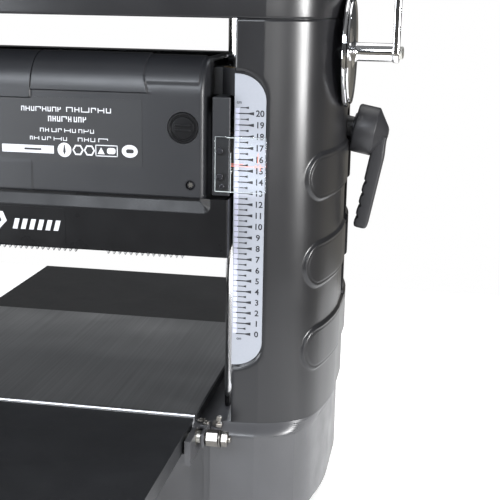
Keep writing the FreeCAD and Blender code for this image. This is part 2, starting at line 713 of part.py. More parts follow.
def motor_housing():
    shell = rod_x(47.5, -150, 166, MOTOR_Y, MOTOR_Z).cut(rod_x(44.5, -146, 163, MOTOR_Y, MOTOR_Z))
    spider = box(132, 136, MOTOR_Y - 45, MOTOR_Y + 45, MOTOR_Z - 9, MOTOR_Z + 9)
    spider = spider.common(rod_x(45, 100, 170, MOTOR_Y, MOTOR_Z))
    shell = fuse([shell, spider])
    shell = shell.cut(rod_x(6 + RUNNING_FIT, -160, 165.5, MOTOR_Y, MOTOR_Z))
    for y0, y1 in ((MOTOR_Y - 50, MOTOR_Y - 16), (MOTOR_Y + 16, MOTOR_Y + 50)):
        shell = shell.cut(rod_y(8, y0, y1, BRUSH_X, MOTOR_Z))
    return shell


export("motor_housing", motor_housing())
stator = rod_x(44.5, STATOR[0], STATOR[1], MOTOR_Y, MOTOR_Z).cut(rod_x(28, -100, 100, MOTOR_Y, MOTOR_Z))
export("stator_core", stator)
armature = fuse([rod_x(6, -182.5, 165, MOTOR_Y, MOTOR_Z),
                 rod_x(27, STATOR[0] + 2, STATOR[1] - 2, MOTOR_Y, MOTOR_Z),
                 rod_x(16, 146, 161, MOTOR_Y, MOTOR_Z),
                 rod_x(40, -126, -112, MOTOR_Y, MOTOR_Z)])
PULLEY_X = (-182.5, -173.0)
MOTOR_PULLEY_R = 14.0
CUTTER_PULLEY_R = 28.0


def flanged_pulley(r, y, z, bore):
    x0, x1 = PULLEY_X
    rims = [rod_x(r + 1.6, x0, x0 + 1, y, z), rod_x(r + 1.6, x1 - 1, x1, y, z)]
    drum = fuse([rod_x(r, x0, x1, y, z)] + rims)
    return drum.cut(rod_x(bore, x0 - 1, x1 + 1, y, z))


export("armature", [armature, flanged_pulley(MOTOR_PULLEY_R, MOTOR_Y, MOTOR_Z, 6)])
pulleys = [(MOTOR_Y, MOTOR_Z, MOTOR_PULLEY_R), (0, CUTTER_Z, CUTTER_PULLEY_R)]
belt_x0, belt_x1 = PULLEY_X[0] + 1.4, PULLEY_X[1] - 1.4
belt = hull_plate(pulleys, 2.9, belt_x0, belt_x1).cut(hull_plate(pulleys, 0.4, belt_x0 - 1, belt_x1 + 1))
export("drive_belt", belt)
export("belt_cover", hull_plate(pulleys, 5.5, -184.4, -183.2))
brush_caps = []
brush_holders = []
carbon_brushes = []
for way in (-1, 1):
    mouth = MOTOR_Y + way * 55
    y0, y1 = sorted((MOTOR_Y + way * 24, mouth))
    tube = rod_y(8, y0, y1, BRUSH_X, MOTOR_Z)
    carbon = box(BRUSH_X - 3, BRUSH_X + 3, *sorted((MOTOR_Y + way * 16.1, MOTOR_Y + way * 40)),
                 MOTOR_Z - 4.5, MOTOR_Z + 4.5)
    window = box(BRUSH_X - 3, BRUSH_X + 3, y0 - 1, y1 + 1, MOTOR_Z - 4.5, MOTOR_Z + 4.5)
    brush_holders.append(tube.cut(window))
    carbon_brushes.append(carbon)
    c0, c1 = sorted((mouth, mouth + way * 2.5))
    cap_r = 13.5 if way < 0 else 9.0
    cap = rod_y(cap_r, c0, c1, BRUSH_X, MOTOR_Z)
    groove = sorted((mouth + way * 1.2, mouth + way * 3))
    slot = box(BRUSH_X - cap_r * 0.7, BRUSH_X + cap_r * 0.7, *groove, MOTOR_Z - 1.2, MOTOR_Z + 1.2)
    brush_caps.append(cap.cut(slot))
export("brush_caps", brush_caps)
export("brush_holders", brush_holders + carbon_brushes)

# ---- cutterhead ----
DRUM_R = 22.8
KNIFE_THICK = 1.8
GIB_THICK = 7.0


def knife_parts(angle):
    """One knife and its clamping bar, in a slot across the drum."""
    knife = box(-164.5, 164.5, 0, KNIFE_THICK, 9.5, CUTTER_R)
    gib = box(-164.5, 164.5, -GIB_THICK, 0, 9.5, DRUM_R - 1.6)
    for s in (knife, gib):
        s.rotate(V(0, 0, 0), V(1, 0, 0), angle)
        s.translate(V(0, 0, CUTTER_Z))
    return knife, gib


def spur_gear(teeth, centre, span, phase):
    """Module 1 spur gear along X with straight flanks and free backlash."""
    y, z = centre
    r = teeth / 2.0
    root = r - 1.25
    tip = r + 0.8
    step = 2 * math.pi / teeth
    pts = []
    for k in range(teeth):
        a = step * (k + phase)
        for radius, frac in ((root, -0.30), (tip, -0.12), (tip, 0.12), (root, 0.30)):
            pts.append((y + radius * math.cos(a + frac * step), z + radius * math.sin(a + frac * step)))
    return prism_x(pts, *span)


def line_angle(a, b):
    return math.atan2(b[1] - a[1], b[0] - a[0])


def on_line(teeth, angle):
    """Phase that puts a tooth on the line of centres."""
    return angle / (2 * math.pi / teeth)


def off_line(teeth, angle):
    """Phase that puts a gap there."""
    return on_line(teeth, angle) + 0.5


CUTTER_AT = (0.0, CUTTER_Z)
LINE1 = line_angle(CUTTER_AT, GEAR1_AT)
LINE2 = line_angle(GEAR1_AT, GEAR2_AT)
LINE3 = line_angle(GEAR2_AT, GEAR3_AT)
drum = rod_x(DRUM_R, -165, 165, 0, CUTTER_Z)
knives = []
gibs = []
for k in range(2):
    knife, gib = knife_parts(90.0 + 180.0 * k)
    slot = box(-166, 166, -GIB_THICK, KNIFE_THICK, 9.5, CUTTER_R + 2)
    slot.rotate(V(0, 0, 0), V(1, 0, 0), 90.0 + 180.0 * k)
    slot.translate(V(0, 0, CUTTER_Z))
    drum = drum.cut(slot)
    knives.append(knife)
    gibs.append(gib)
shaft = fuse([rod_x(8, -182.5, 173.0, 0, CUTTER_Z), rod_x(9.4, -166, 166, 0, CUTTER_Z)])
cutter_pinion = spur_gear(CUTTER_PINION, CUTTER_AT, (172.5, STAGE1[1]), on_line(CUTTER_PINION, LINE1))
cutter_pulley = flanged_pulley(CUTTER_PULLEY_R, 0, CUTTER_Z, 8)
export("cutterhead", [fuse([drum, shaft, cutter_pinion]), cutter_pulley])
export("knives", knives)
export("knife_clamps", gibs)
bearing = rod_x(17, SIDE_IN, SIDE_OUT, 0, CUTTER_Z).cut(rod_x(8 + RUNNING_FIT, 160, 180, 0, CUTTER_Z))
export("cutter_bearings", [bearing, mirror_x(bearing)])

# ---- feed gear train ----
DRIVE_SPROCKET_R, ROLLER_SPROCKET_R = 6.5, 13.0


def sprocket_x(r, centre):
    y, z = centre
    teeth = max(8, int(round(2 * math.pi * r / 6.35)))
    wheel = [rod_x(r - 2, SPROCKETS[0], SPROCKETS[1], y, z)]
    for k in range(teeth):
        tooth = box(SPROCKETS[0], SPROCKETS[1], y - 1.2, y + 1.2, z, z + r)
        tooth.rotate(V(0, y, z), V(1, 0, 0), 360.0 * k / teeth)
        wheel.append(tooth)
    return fuse(wheel)


def compound_gear(parts, centre):
    return fuse(parts).cut(rod_x(AXLE_R + RUNNING_FIT, 160, 200, *centre))


first = [spur_gear(GEAR1, GEAR1_AT, STAGE1, off_line(GEAR1, LINE1 + math.pi)),
         spur_gear(PINION1, GEAR1_AT, (STAGE1[1], STAGE2[1]), on_line(PINION1, LINE2))]
second = [spur_gear(GEAR2, GEAR2_AT, STAGE2, off_line(GEAR2, LINE2 + math.pi)),
          spur_gear(PINION2, GEAR2_AT, (STAGE2[1], STAGE3[1]), on_line(PINION2, LINE3))]
third = [spur_gear(GEAR3, GEAR3_AT, STAGE3, off_line(GEAR3, LINE3 + math.pi)),
         rod_x(DRIVE_SPROCKET_R - 1, STAGE3[1], SPROCKETS[0], *GEAR3_AT),
         sprocket_x(DRIVE_SPROCKET_R, GEAR3_AT)]
export("feed_gear_first", compound_gear(first, GEAR1_AT))
export("feed_gear_second", compound_gear(second, GEAR2_AT))
export("feed_gear_third", compound_gear(third, GEAR3_AT))
feed_wheels = [GEAR3_AT + (DRIVE_SPROCKET_R,), (-ROLLER_Y, ROLLER_Z, ROLLER_SPROCKET_R),
               (ROLLER_Y, ROLLER_Z, ROLLER_SPROCKET_R)]
chain_way = hull_plate(feed_wheels, 0.4, SPROCKETS[0] - 1, SPROCKETS[1] + 1)
export("feed_chain", hull_plate(feed_wheels, 2.4, *SPROCKETS).cut(chain_way))


def gearbox_cover():
    outer = box(SIDE_OUT, 196.2, -80.5, 80.5, 256, 344)
    uprights = [e for e in outer.Edges if e.BoundBox.XLength > 20]
    outer = outer.makeFillet(8, uprights)
    cover = outer.cut(box(SIDE_OUT - 1, 194.2, -78.6, 78.6, 258, 342))
    return fuse([cover, rod_x(AXLE_R, STAGE3[0], 195, *GEAR3_AT)])


export("gearbox_cover", gearbox_cover())


# ---- feed rollers ----
def feed_roller(y):
    core = rod_x(ROLLER_R, -162, 162, y, ROLLER_Z)
    axle = rod_x(7, -171.5, SPROCKETS[1], y, ROLLER_Z)
    wheel = sprocket_x(ROLLER_SPROCKET_R, (y, ROLLER_Z))
    return fuse([core, axle, wheel])


export("infeed_roller", feed_roller(-ROLLER_Y))
export("outfeed_roller", feed_roller(ROLLER_Y))


def roller_block(side, y):
    x0, x1 = sorted((side * SIDE_IN, side * SIDE_OUT))
    block = box(x0, x1, y - 10, y + 10, ROLLER_Z - 11, ROLLER_Z + 14)
    return block.cut(rod_x(7 + RUNNING_FIT, x0 - 1, x1 + 1, y, ROLLER_Z))


export("roller_blocks", [roller_block(s, y) for s in (-1, 1) for y in (-ROLLER_Y, ROLLER_Y)])


def coil_spring(x, y):
    """Stacked rings stand for the coils that press a roller block down."""
    rings = [Part.makeTorus(1.6, 0.55, V(x, y, ROLLER_Z + 14.6 + 1.8 * k)) for k in range(9)]
    return fuse([rod_z(1.5, ROLLER_Z + 14, ROLLER_Z + 30, x, y)] + rings)


mid_side = (SIDE_IN + SIDE_OUT) / 2
export("roller_springs", [coil_spring(s * mid_side, y) for s in (-1, 1) for y in (-ROLLER_Y, ROLLER_Y)])

# ---- anti-kickback fingers ----
PAWL_PITCH = 5.3
PAWL_WIDTH = 4.4
pawl_rod = rod_x(3.5, -SKIRT_HALF + SHEET, SKIRT_HALF - SHEET, PAWL_Y, PAWL_Z)
export("pawl_rod", pawl_rod)


def pawl(x):
    """A flat finger with a hooked tip, hung on the rod."""
    outline = [(PAWL_Y - 4.5, PAWL_Z), (PAWL_Y - 3.5, PAWL_TIP), (PAWL_Y + 1.5, PAWL_TIP + 3),
               (PAWL_Y + 4.5, PAWL_Z)]
    finger = prism_x(outline, x, x + PAWL_WIDTH).fuse(rod_x(5.0, x, x + PAWL_WIDTH, PAWL_Y, PAWL_Z))
    hole = rod_x(3.5 + RUNNING_FIT, x - 1, x + PAWL_WIDTH + 1, PAWL_Y, PAWL_Z)
    return finger.cut(hole).removeSplitter()


def pawl_group(x_start, count):
    sleeve_r = 4.6
    fingers = [pawl(x_start + PAWL_PITCH * k) for k in range(count)]
    sleeves = []
    for k in range(count - 1):
        x0 = x_start + PAWL_PITCH * k + PAWL_WIDTH
        ring = rod_x(sleeve_r, x0, x0 + PAWL_PITCH - PAWL_WIDTH, PAWL_Y, PAWL_Z)
        sleeves.append(ring.cut(rod_x(3.5 + RUNNING_FIT, x0 - 1, x0 + 2, PAWL_Y, PAWL_Z)))
    return fuse(fingers + sleeves)


export("kickback_pawls", [pawl_group(84, 14), pawl_group(-37, 18), pawl_group(-158, 14)])

# ---- chips and dust ----
deflector = [(30, 268), (48, 300), (96, 322), (112, 326), (112, 324), (97, 320), (50, 298.5), (32, 268)]
export("chip_deflector", prism_x(deflector, -SIDE_IN, SIDE_IN))
PORT_X, PORT_Z, PORT_R, PORT_IN_R = 96.0, 368.0, 50.0, 47.0
HOOD_BACK = 150.0
PORT_END = 192.0


def dust_hood():
    body = box(-160, 160, 112, HOOD_BACK, 284, 428)
    edges = [e for e in body.Edges if e.BoundBox.YMin > HOOD_BACK - 0.1]
    body = body.makeFillet(10, edges)
    body = fuse([body, rod_y(PORT_R, HOOD_BACK - 4, PORT_END, PORT_X, PORT_Z)])
    body = body.cut(box(-157, 157, 111, HOOD_BACK - 3, 287, 425))
    return body.cut(rod_y(PORT_IN_R, HOOD_BACK - 6, PORT_END + 1, PORT_X, PORT_Z))


export("dust_hood", dust_hood())

# ---- head lock ----
HUB_IN, HUB_OUT, ARM_OUT = 7.2, 28.0, 41.0


def lock_lever():
    """A round hub with a domed cap and a flat arm hanging down, all square to a tilted axis."""
    hub = rod_lever(LEVER_HUB_R, HUB_IN, HUB_OUT)
    cap = Part.makeCone(LEVER_HUB_R, 6.0, ARM_OUT - HUB_OUT, lever_point(HUB_OUT, 0), LEVER_AXIS)
    profile = [(HUB_OUT - 1, 0), (ARM_OUT, -2), (ARM_OUT, LEVER_LENGTH - 8), (ARM_OUT - 4, LEVER_LENGTH),
               (HUB_OUT + 3, LEVER_LENGTH), (HUB_OUT, LEVER_LENGTH - 6), (HUB_OUT, 30), (HUB_OUT - 1, 20)]
    pts = [lever_point(s, t) - V(0, 11, 0) for s, t in profile]
    arm = Part.Face(Part.makePolygon(pts + pts[:1])).extrude(V(0, 22, 0))
    body = fuse([hub, cap, arm])
    return body.cut(rod_lever(5, 0, 20))


lock_screw = fuse([rod_lever(5, -27, 20), rod_lever(14, 5.2, HUB_IN)])
export("lock_lever", [lock_lever(), lock_screw])


# ---- folding tables ----
def table(way):
    """A folded sheet with side flanges; way is -1 in front, +1 behind."""
    y0, y1 = sorted((way * (BED_HALF_Y + 3.5), way * TABLE_REACH))
    top = box(-BED_HALF_X, BED_HALF_X, y0, y1, TABLE_TOP - 3, TABLE_TOP)
    outer = [e for e in top.Edges if e.BoundBox.XLength > 300 and e.BoundBox.ZMin > TABLE_TOP - 1
             and abs(e.BoundBox.YMin - way * TABLE_REACH) < 0.1]
    top = top.makeFillet(2.5, outer)
    flanges = [box(x, x + 2, y0 + (0 if way < 0 else 4), y1 - (4 if way < 0 else 0), 92, TABLE_TOP - 2)
               for x in (-BED_HALF_X, BED_HALF_X - 2)]
    e0, e1 = sorted((way * (TABLE_REACH - 2), way * TABLE_REACH))
    nose = box(-BED_HALF_X, BED_HALF_X, e0, e1, 94, TABLE_TOP - 2)
    ribs = [box(x - 1.5, x + 1.5, *sorted((way * 190, way * (TABLE_REACH - 2))), 96, TABLE_TOP - 2)
            for x in (-80, 0, 80)]
    sheet = fuse([top] + flanges + [nose] + ribs)
    return sheet.cut(rod_x(3 + RUNNING_FIT, -170, 170, way * HINGE_Y, HINGE_Z))


export("infeed_table", table(-1))
export("outfeed_table", table(1))


pin = fuse([rod_x(3, 161, 174.5, -HINGE_Y, HINGE_Z), rod_x(5.5, 174, 177.5, -HINGE_Y, HINGE_Z)])
export("hinge_pins", all_corners(pin))
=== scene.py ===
import bpy
import bmesh
import json
import math
from bisect import bisect_right
from mathutils import Matrix, Vector

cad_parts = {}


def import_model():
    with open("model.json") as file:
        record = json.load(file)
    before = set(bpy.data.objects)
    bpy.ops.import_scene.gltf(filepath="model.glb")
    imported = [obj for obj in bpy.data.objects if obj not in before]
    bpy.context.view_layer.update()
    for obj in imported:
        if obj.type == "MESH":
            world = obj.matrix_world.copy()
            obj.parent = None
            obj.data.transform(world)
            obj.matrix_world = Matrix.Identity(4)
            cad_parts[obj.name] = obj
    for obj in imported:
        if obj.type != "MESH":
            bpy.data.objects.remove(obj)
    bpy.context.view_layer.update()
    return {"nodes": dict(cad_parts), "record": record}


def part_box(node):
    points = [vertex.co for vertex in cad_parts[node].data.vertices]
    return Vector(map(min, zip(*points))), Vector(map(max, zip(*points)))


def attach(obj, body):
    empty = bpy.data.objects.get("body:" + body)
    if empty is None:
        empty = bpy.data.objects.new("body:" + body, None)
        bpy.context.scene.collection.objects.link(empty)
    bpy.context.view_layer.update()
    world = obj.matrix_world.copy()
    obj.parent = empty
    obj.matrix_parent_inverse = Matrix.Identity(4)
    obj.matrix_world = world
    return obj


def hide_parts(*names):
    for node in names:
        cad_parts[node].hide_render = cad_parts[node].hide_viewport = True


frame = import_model()
MM = 0.001


# ---------- places read from the frame, in millimetres ----------
def mm_box(node):
    lo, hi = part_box(node)
    return Vector(lo) / MM, Vector(hi) / MM


tower_lo, tower_hi = mm_box("tower_right")
scale_lo, scale_hi = mm_box("scale_plate")
skirt_lo, skirt_hi = mm_box("front_skirt")
cover_lo, cover_hi = mm_box("motor_cover")
plate_lo, plate_hi = mm_box("indicator_plate")
bracket_lo, bracket_hi = mm_box("indicator_bracket")
disc_lo, disc_hi = mm_box("crank_disc")
switch_lo, switch_hi = mm_box("switch_box")
start_y, stop_y = mm_box("start_button")[0].y, mm_box("stop_button")[0].y
caps_back_y, hood_end_y = mm_box("brush_caps")[1].y, mm_box("dust_hood")[1].y
FRONT_Y, TOP_Z = skirt_lo.y, tower_hi.z


# ---------- materials ----------
class Shader:
    """A node material built around one Principled shader."""

    def __init__(self, name, color, rough, metal=0.0, **sockets):
        self.material = bpy.data.materials.new(name)
        self.material.use_nodes = True
        self.nodes = self.material.node_tree.nodes
        self.links = self.material.node_tree.links
        self.bsdf = self.nodes["Principled BSDF"]
        self.set("Base Color", (*color, 1.0))
        self.set("Roughness", rough)
        self.set("Metallic", metal)
        for key, value in sockets.items():
            self.set(key.replace("_", " "), value)
        self.coords = self.nodes.new("ShaderNodeTexCoord").outputs["Object"]
        self.normal = None

    def set(self, socket, value):
        self.bsdf.inputs[socket].default_value = value

    def stretched(self, stretch):
        mapping = self.nodes.new("ShaderNodeMapping")
        mapping.inputs["Scale"].default_value = stretch
        self.links.new(self.coords, mapping.inputs["Vector"])
        return mapping.outputs["Vector"]

    def noise(self, scale, detail, stretch=(1, 1, 1)):
        """Cloudy noise with about scale cells to the metre."""
        node = self.nodes.new("ShaderNodeTexNoise")
        node.inputs["Scale"].default_value = scale
        node.inputs["Detail"].default_value = detail
        self.links.new(self.stretched(stretch), node.inputs["Vector"])
        return node.outputs["Fac"]

    def vary_color(self, fac, low, high, start=0.2, end=0.8):
        node = self.nodes.new("ShaderNodeValToRGB")
        node.color_ramp.elements[0].position = start
        node.color_ramp.elements[0].color = (*low, 1)
        node.color_ramp.elements[1].position = end
        node.color_ramp.elements[1].color = (*high, 1)
        self.links.new(fac, node.inputs["Fac"])
        self.links.new(node.outputs["Color"], self.bsdf.inputs["Base Color"])
        return self

    def vary_rough(self, fac, low, high, start=0.2, end=0.8):
        node = self.nodes.new("ShaderNodeMapRange")
        for key, value in (("From Min", start), ("From Max", end), ("To Min", low), ("To Max", high)):
            node.inputs[key].default_value = value
        self.links.new(fac, node.inputs["Value"])
        self.links.new(node.outputs["Result"], self.bsdf.inputs["Roughness"])
        return self

    def bump(self, fac, strength, distance):
        node = self.nodes.new("ShaderNodeBump")
        node.inputs["Strength"].default_value = strength
        node.inputs["Distance"].default_value = distance
        self.links.new(fac, node.inputs["Height"])
        if self.normal is not None:
            self.links.new(self.normal, node.inputs["Normal"])
        self.normal = node.outputs["Normal"]
        self.links.new(self.normal, self.bsdf.inputs["Normal"])
        return self


def tinted(color, gain):
    return tuple(min(1.0, c * gain) for c in color)


def moulded(name, color, rough, grain, depth, spread=0.03):
    """Injection-moulded plastic: fine spark-eroded grain, faint sheen and colour drift."""
    s = Shader(name, color, rough)
    s.vary_color(s.noise(9, 4), tinted(color, 0.85), tinted(color, 1.15))
    s.vary_rough(s.noise(26, 3), rough - spread, rough + spread)
    return s.bump(s.noise(grain, 2), 0.5, depth).material


def painted(name, color, rough, peel=260, depth=0.00012, coat=0.15, shine=0.5):
    """Powder coat: slight orange peel with dust-fine speckle."""
    s = Shader(name, color, rough, Coat_Weight=coat, Coat_Roughness=0.25, Specular_IOR_Level=shine)
    s.vary_color(s.noise(14, 5), tinted(color, 0.8), tinted(color, 1.25))
    s.vary_rough(s.noise(40, 4), rough - 0.06, rough + 0.08)
    s.bump(s.noise(peel, 2), 0.35, depth)
    return s.bump(s.noise(2400, 1), 0.25, 0.00003).material


def brushed(name, color, rough, stretch, scale):
    """Ground or turned metal: long fine scratches along one way."""
    s = Shader(name, color, rough, 1.0)
    lines = s.noise(scale, 6, stretch)
    s.vary_color(lines, tinted(color, 0.88), tinted(color, 1.1), 0.3, 0.7)
    s.vary_rough(s.noise(12, 4), rough - 0.06, rough + 0.08)
    return s.bump(lines, 0.4, 0.00002).material


def polished(name, color, rough):
    """Hard chrome: near mirror with faint wipe marks."""
    s = Shader(name, color, rough, 1.0)
    s.vary_rough(s.noise(30, 5, (1, 1, 0.25)), rough * 0.6, rough * 1.9)
    s.vary_color(s.noise(6, 3), tinted(color, 0.93), tinted(color, 1.03))
    return s.material


def cast(name, color, rough):
    """Sand-cast iron under thin paint."""
    s = Shader(name, color, rough)
    s.vary_color(s.noise(60, 6), tinted(color, 0.7), tinted(color, 1.35))
    s.vary_rough(s.noise(90, 4), rough - 0.08, rough + 0.08)
    return s.bump(s.noise(420, 5), 0.6, 0.0002).material


def printed(name, color, rough):
    """Ink, or the painted highlight on the window's edges: an even colour with hardly any texture."""
    s = Shader(name, color, rough)
    s.vary_color(s.noise(500, 3), tinted(color, 0.95), color)
    s.vary_rough(s.noise(80, 3), rough - 0.04, rough + 0.05)
    return s.material


def clear(name, tint):
    """Acrylic one can see through."""
    s = Shader(name, tint, 0.03, Transmission_Weight=1.0, IOR=1.49)
    s.vary_rough(s.noise(25, 4), 0.02, 0.07)
    return s.material


MATERIALS = {name: make(name, *values) for make, name, *values in (
    (moulded, "tower_plastic", (0.010, 0.010, 0.0112), 0.31, 1300, 0.00004),
    (painted, "base_paint", (0.046, 0.046, 0.049), 0.34),
    (brushed, "bed_steel", (0.50, 0.505, 0.515), 0.32, (1, 0.012, 1), 420),
    (painted, "table_paint", (0.010, 0.0105, 0.012), 0.42),
    (polished, "chrome", (0.86, 0.86, 0.87), 0.07),
    (brushed, "machined_steel", (0.46, 0.46, 0.47), 0.3, (0.05, 1, 1), 300),
    (moulded, "cover_plastic", (0.011, 0.0115, 0.0135), 0.40, 1500, 0.00005),
    (painted, "skirt_paint", (0.006, 0.006, 0.0065), 0.3, 260, 0.00012, 0.0, 0.17),
    (moulded, "lever_plastic", (0.016, 0.016, 0.018), 0.42, 1100, 0.00008),
    (cast, "cast_paint", (0.012, 0.012, 0.013), 0.5),
    (printed, "scale_white", (0.26, 0.272, 0.30), 0.4),
    (clear, "clear_acrylic", (0.97, 0.99, 1.0)),
    (moulded, "rubber", (0.012, 0.012, 0.012), 0.75, 600, 0.00012, 0.08),
    (brushed, "brass", (0.65, 0.46, 0.2), 0.28, (0.1, 1, 1), 260),
    (moulded, "red_plastic", (0.55, 0.015, 0.012), 0.32, 1500, 0.00003),
    (moulded, "green_plastic", (0.02, 0.3, 0.06), 0.32, 1500, 0.00003),
    (brushed, "aluminium", (0.62, 0.62, 0.63), 0.4, (1, 1, 1), 500),
    (brushed, "zinc", (0.55, 0.54, 0.5), 0.35, (1, 1, 1), 300),
    (brushed, "lamination", (0.1, 0.09, 0.085), 0.5, (14, 0.2, 0.2), 300),
    (brushed, "tool_steel", (0.62, 0.62, 0.63), 0.22, (0.02, 1, 1), 500),
    # finishes of prints and small fittings, and colours with painted light: the window edges' highlight and
    # the zinc's shade
    (printed, "ink_black", (0.01, 0.01, 0.014), 0.4),
    (printed, "ink_white", (0.52, 0.52, 0.54), 0.45),
    (printed, "ink_lavender", (0.50, 0.50, 0.64), 0.4),
    (printed, "ink_red", (0.86, 0.24, 0.17), 0.4),
    # a light grey that paints the highlight along the indicator window's edges
    (printed, "cut_acrylic", (0.36, 0.39, 0.39), 0.25),
    (moulded, "label_film", (0.011, 0.0115, 0.013), 0.44, 900, 0.0001),
    # zinc darkened to paint the shade on the hinge bolts and inside the cover screws' sockets
    (brushed, "dull_zinc", (0.20, 0.19, 0.175), 0.36, (1, 1, 1), 300),
    (brushed, "black_oxide", (0.05, 0.05, 0.055), 0.38, (1, 1, 1), 600),
)}

slot_of = {row["node"]: row["material_slot"] for row in frame["record"]["subparts"]}
for node, obj in frame["nodes"].items():
    obj.data.materials.clear()
    obj.data.materials.append(MATERIALS[slot_of[node]])


# ---------- building shapes, in millimetres ----------
def axes_of(axis):
    """Two unit vectors square to an axis and to each other."""
    axis = Vector(axis).normalized()
    side = Vector((0, 0, 1)) if abs(axis.z) < 0.9 else Vector((1, 0, 0))
    u = axis.cross(side).normalized()
    return u, axis.cross(u)


class Shape:
    """Corners and faces gathered before they become one piece."""

    def __init__(self):
        self.verts, self.faces = [], []

    def add(self, verts, faces):
        base = len(self.verts)
        self.verts += [Vector(v) for v in verts]
        self.faces += [tuple(base + i for i in f) for f in faces]
        return self

    def rings(self, rings, closed=True, caps=True, loop=False):
        """Rows of as many points each, joined one row to the next."""
        n, rows = len(rings[0]), len(rings)
        faces = []
        for i in range(rows if loop else rows - 1):
            a, b = i * n, (i + 1) % rows * n
            for j in range(n if closed else n - 1):
                k = (j + 1) % n
                faces.append((a + j, a + k, b + k, b + j))
        if caps and closed and not loop:
            faces += [tuple(range(n))[::-1], tuple((rows - 1) * n + j for j in range(n))]
        return self.add([p for ring in rings for p in ring], faces)

    def lathe(self, profile, origin, axis, steps, loop=False):
        """(along, radius) pairs turned about an axis."""
        origin, way = Vector(origin), Vector(axis).normalized()
        u, v = axes_of(way)
        turns = [2 * math.pi * k / steps for k in range(steps)]
        rings = [[origin + way * a + (u * math.cos(t) + v * math.sin(t)) * max(r, 0.01) for t in turns]
                 for a, r in profile]
        return self.rings(rings, loop=loop)

    def prism(self, outline, axis, lo, hi):
        """A flat outline carried along x, y or z; the outline holds the other two coordinates."""
        def at(p, w):
            return {"x": (w, p[0], p[1]), "y": (p[0], w, p[1]), "z": (p[0], p[1], w)}[axis]
        return self.rings([[at(p, w) for p in outline] for w in (lo, hi)])

    def block(self, a, b):
        """A box between two opposite corners."""
        (x0, x1), (y0, y1), (z0, z1) = (sorted(pair) for pair in zip(a, b))
        return self.prism(rect(x0, x1, y0, y1), "z", z0, z1)

    def sheet(self, outline, y, thick):
        """A thin flat mark that stands out from y towards the front."""
        return self.prism(outline, "y", y - thick, y)

    def both_sides(self):
        """Adds the mirror image across x = 0."""
        base = len(self.verts)
        self.faces += [tuple(base + i for i in reversed(f)) for f in self.faces]
        self.verts += [Vector((-v.x, v.y, v.z)) for v in self.verts]
        return self


def rect(x0, x1, y0, y1):
    return [(x0, y0), (x1, y0), (x1, y1), (x0, y1)]


def polygon(cx, cy, rx, corners, ry=None):
    turns = [2 * math.pi * k / corners for k in range(corners)]
    return [(cx + rx * math.cos(t), cy + (ry or rx) * math.sin(t)) for t in turns]


def round_rect(x0, x1, y0, y1, r, steps=6):
    out = []
    for cx, cy, start in ((x1 - r, y0 + r, -90), (x1 - r, y1 - r, 0),
                          (x0 + r, y1 - r, 90), (x0 + r, y0 + r, 180)):
        for k in range(steps + 1):
            a = math.radians(start + 90 * k / steps)
            out.append((cx + r * math.cos(a), cy + r * math.sin(a)))
    return out


MERGE_DIST = 2e-6


def piece(name, shape, material, body, stands_for=(), rounding=0.0, sharp=38, segments=3, sort=True,
          slot=None):
    """Turns a shape into a Blender object that rides on a CAD body."""
    mesh = bpy.data.meshes.new(name)
    mesh.from_pydata([v * MM for v in shape.verts], [], shape.faces)
    bm = bmesh.new()
    bm.from_mesh(mesh)
    bmesh.ops.remove_doubles(bm, verts=bm.verts, dist=MERGE_DIST)
    if sort:
        bmesh.ops.recalc_face_normals(bm, faces=bm.faces)
    if rounding:
        edges = [e for e in bm.edges if e.is_manifold and e.calc_face_angle(0) > math.radians(sharp)]
        bmesh.ops.bevel(bm, geom=edges, offset=rounding * MM, segments=segments, profile=0.5,
                        affect="EDGES", clamp_overlap=True)
    bm.to_mesh(mesh)
    bm.free()
    mesh.shade_smooth()
    mesh.set_sharp_from_angle(angle=math.radians(max(sharp, 50) if rounding else sharp))
    obj = bpy.data.objects.new(name, mesh)
    bpy.context.collection.objects.link(obj)
    if rounding:
        even = obj.modifiers.new("even_normals", "WEIGHTED_NORMAL")
        even.keep_sharp = True
    mesh.materials.append(MATERIALS[material])
    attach(obj, body)
    if stands_for:
        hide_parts(*stands_for)
    return obj


def turned(name, profile, places, way, steps, material, body, loop=False, **look):
    """One piece of the same turned fitting at each of the places."""
    shape = Shape()
    for at in places:
        shape.lathe(profile, at, way, steps, loop)
    piece(name, shape, material, body, **look)


def soften(node, width):
    """Rounds the edges of a CAD node with a modifier; its mesh stays as it is."""
    mod = frame["nodes"][node].modifiers.new("edge_break", "BEVEL")
    mod.width = width * MM
    mod.segments = 2
    mod.limit_method = "ANGLE"
    mod.angle_limit = math.radians(50)
    mod.harden_normals = True


class Path:
    """A flat line of points, read by the distance along it."""

    def __init__(self, points):
        self.points = [Vector(p) for p in points]
        self.marks = [0.0]
        for a, b in zip(self.points, self.points[1:]):
            self.marks.append(self.marks[-1] + (b - a).length)
        self.length = self.marks[-1]

    def spot(self, s):
        s = min(max(s, 0.0), self.length)
        k = min(bisect_right(self.marks, s), len(self.marks) - 1) - 1
        span = self.marks[k + 1] - self.marks[k]
        return self.points[k].lerp(self.points[k + 1], (s - self.marks[k]) / span)

    def at(self, s, reach=0.4):
        """The point there and the normal to the right of travel."""
        ahead, behind = self.spot(s + reach), self.spot(s - reach)
        way = (ahead - behind).normalized()
        return self.spot(s), Vector((way.y, -way.x))

    def near(self, x, y):
        target = Vector((x, y))
        return min(self.marks, key=lambda s: (self.spot(s) - target).length)

    def offset(self, grow):
        return [p + n * grow for p, n in map(self.at, self.marks)]


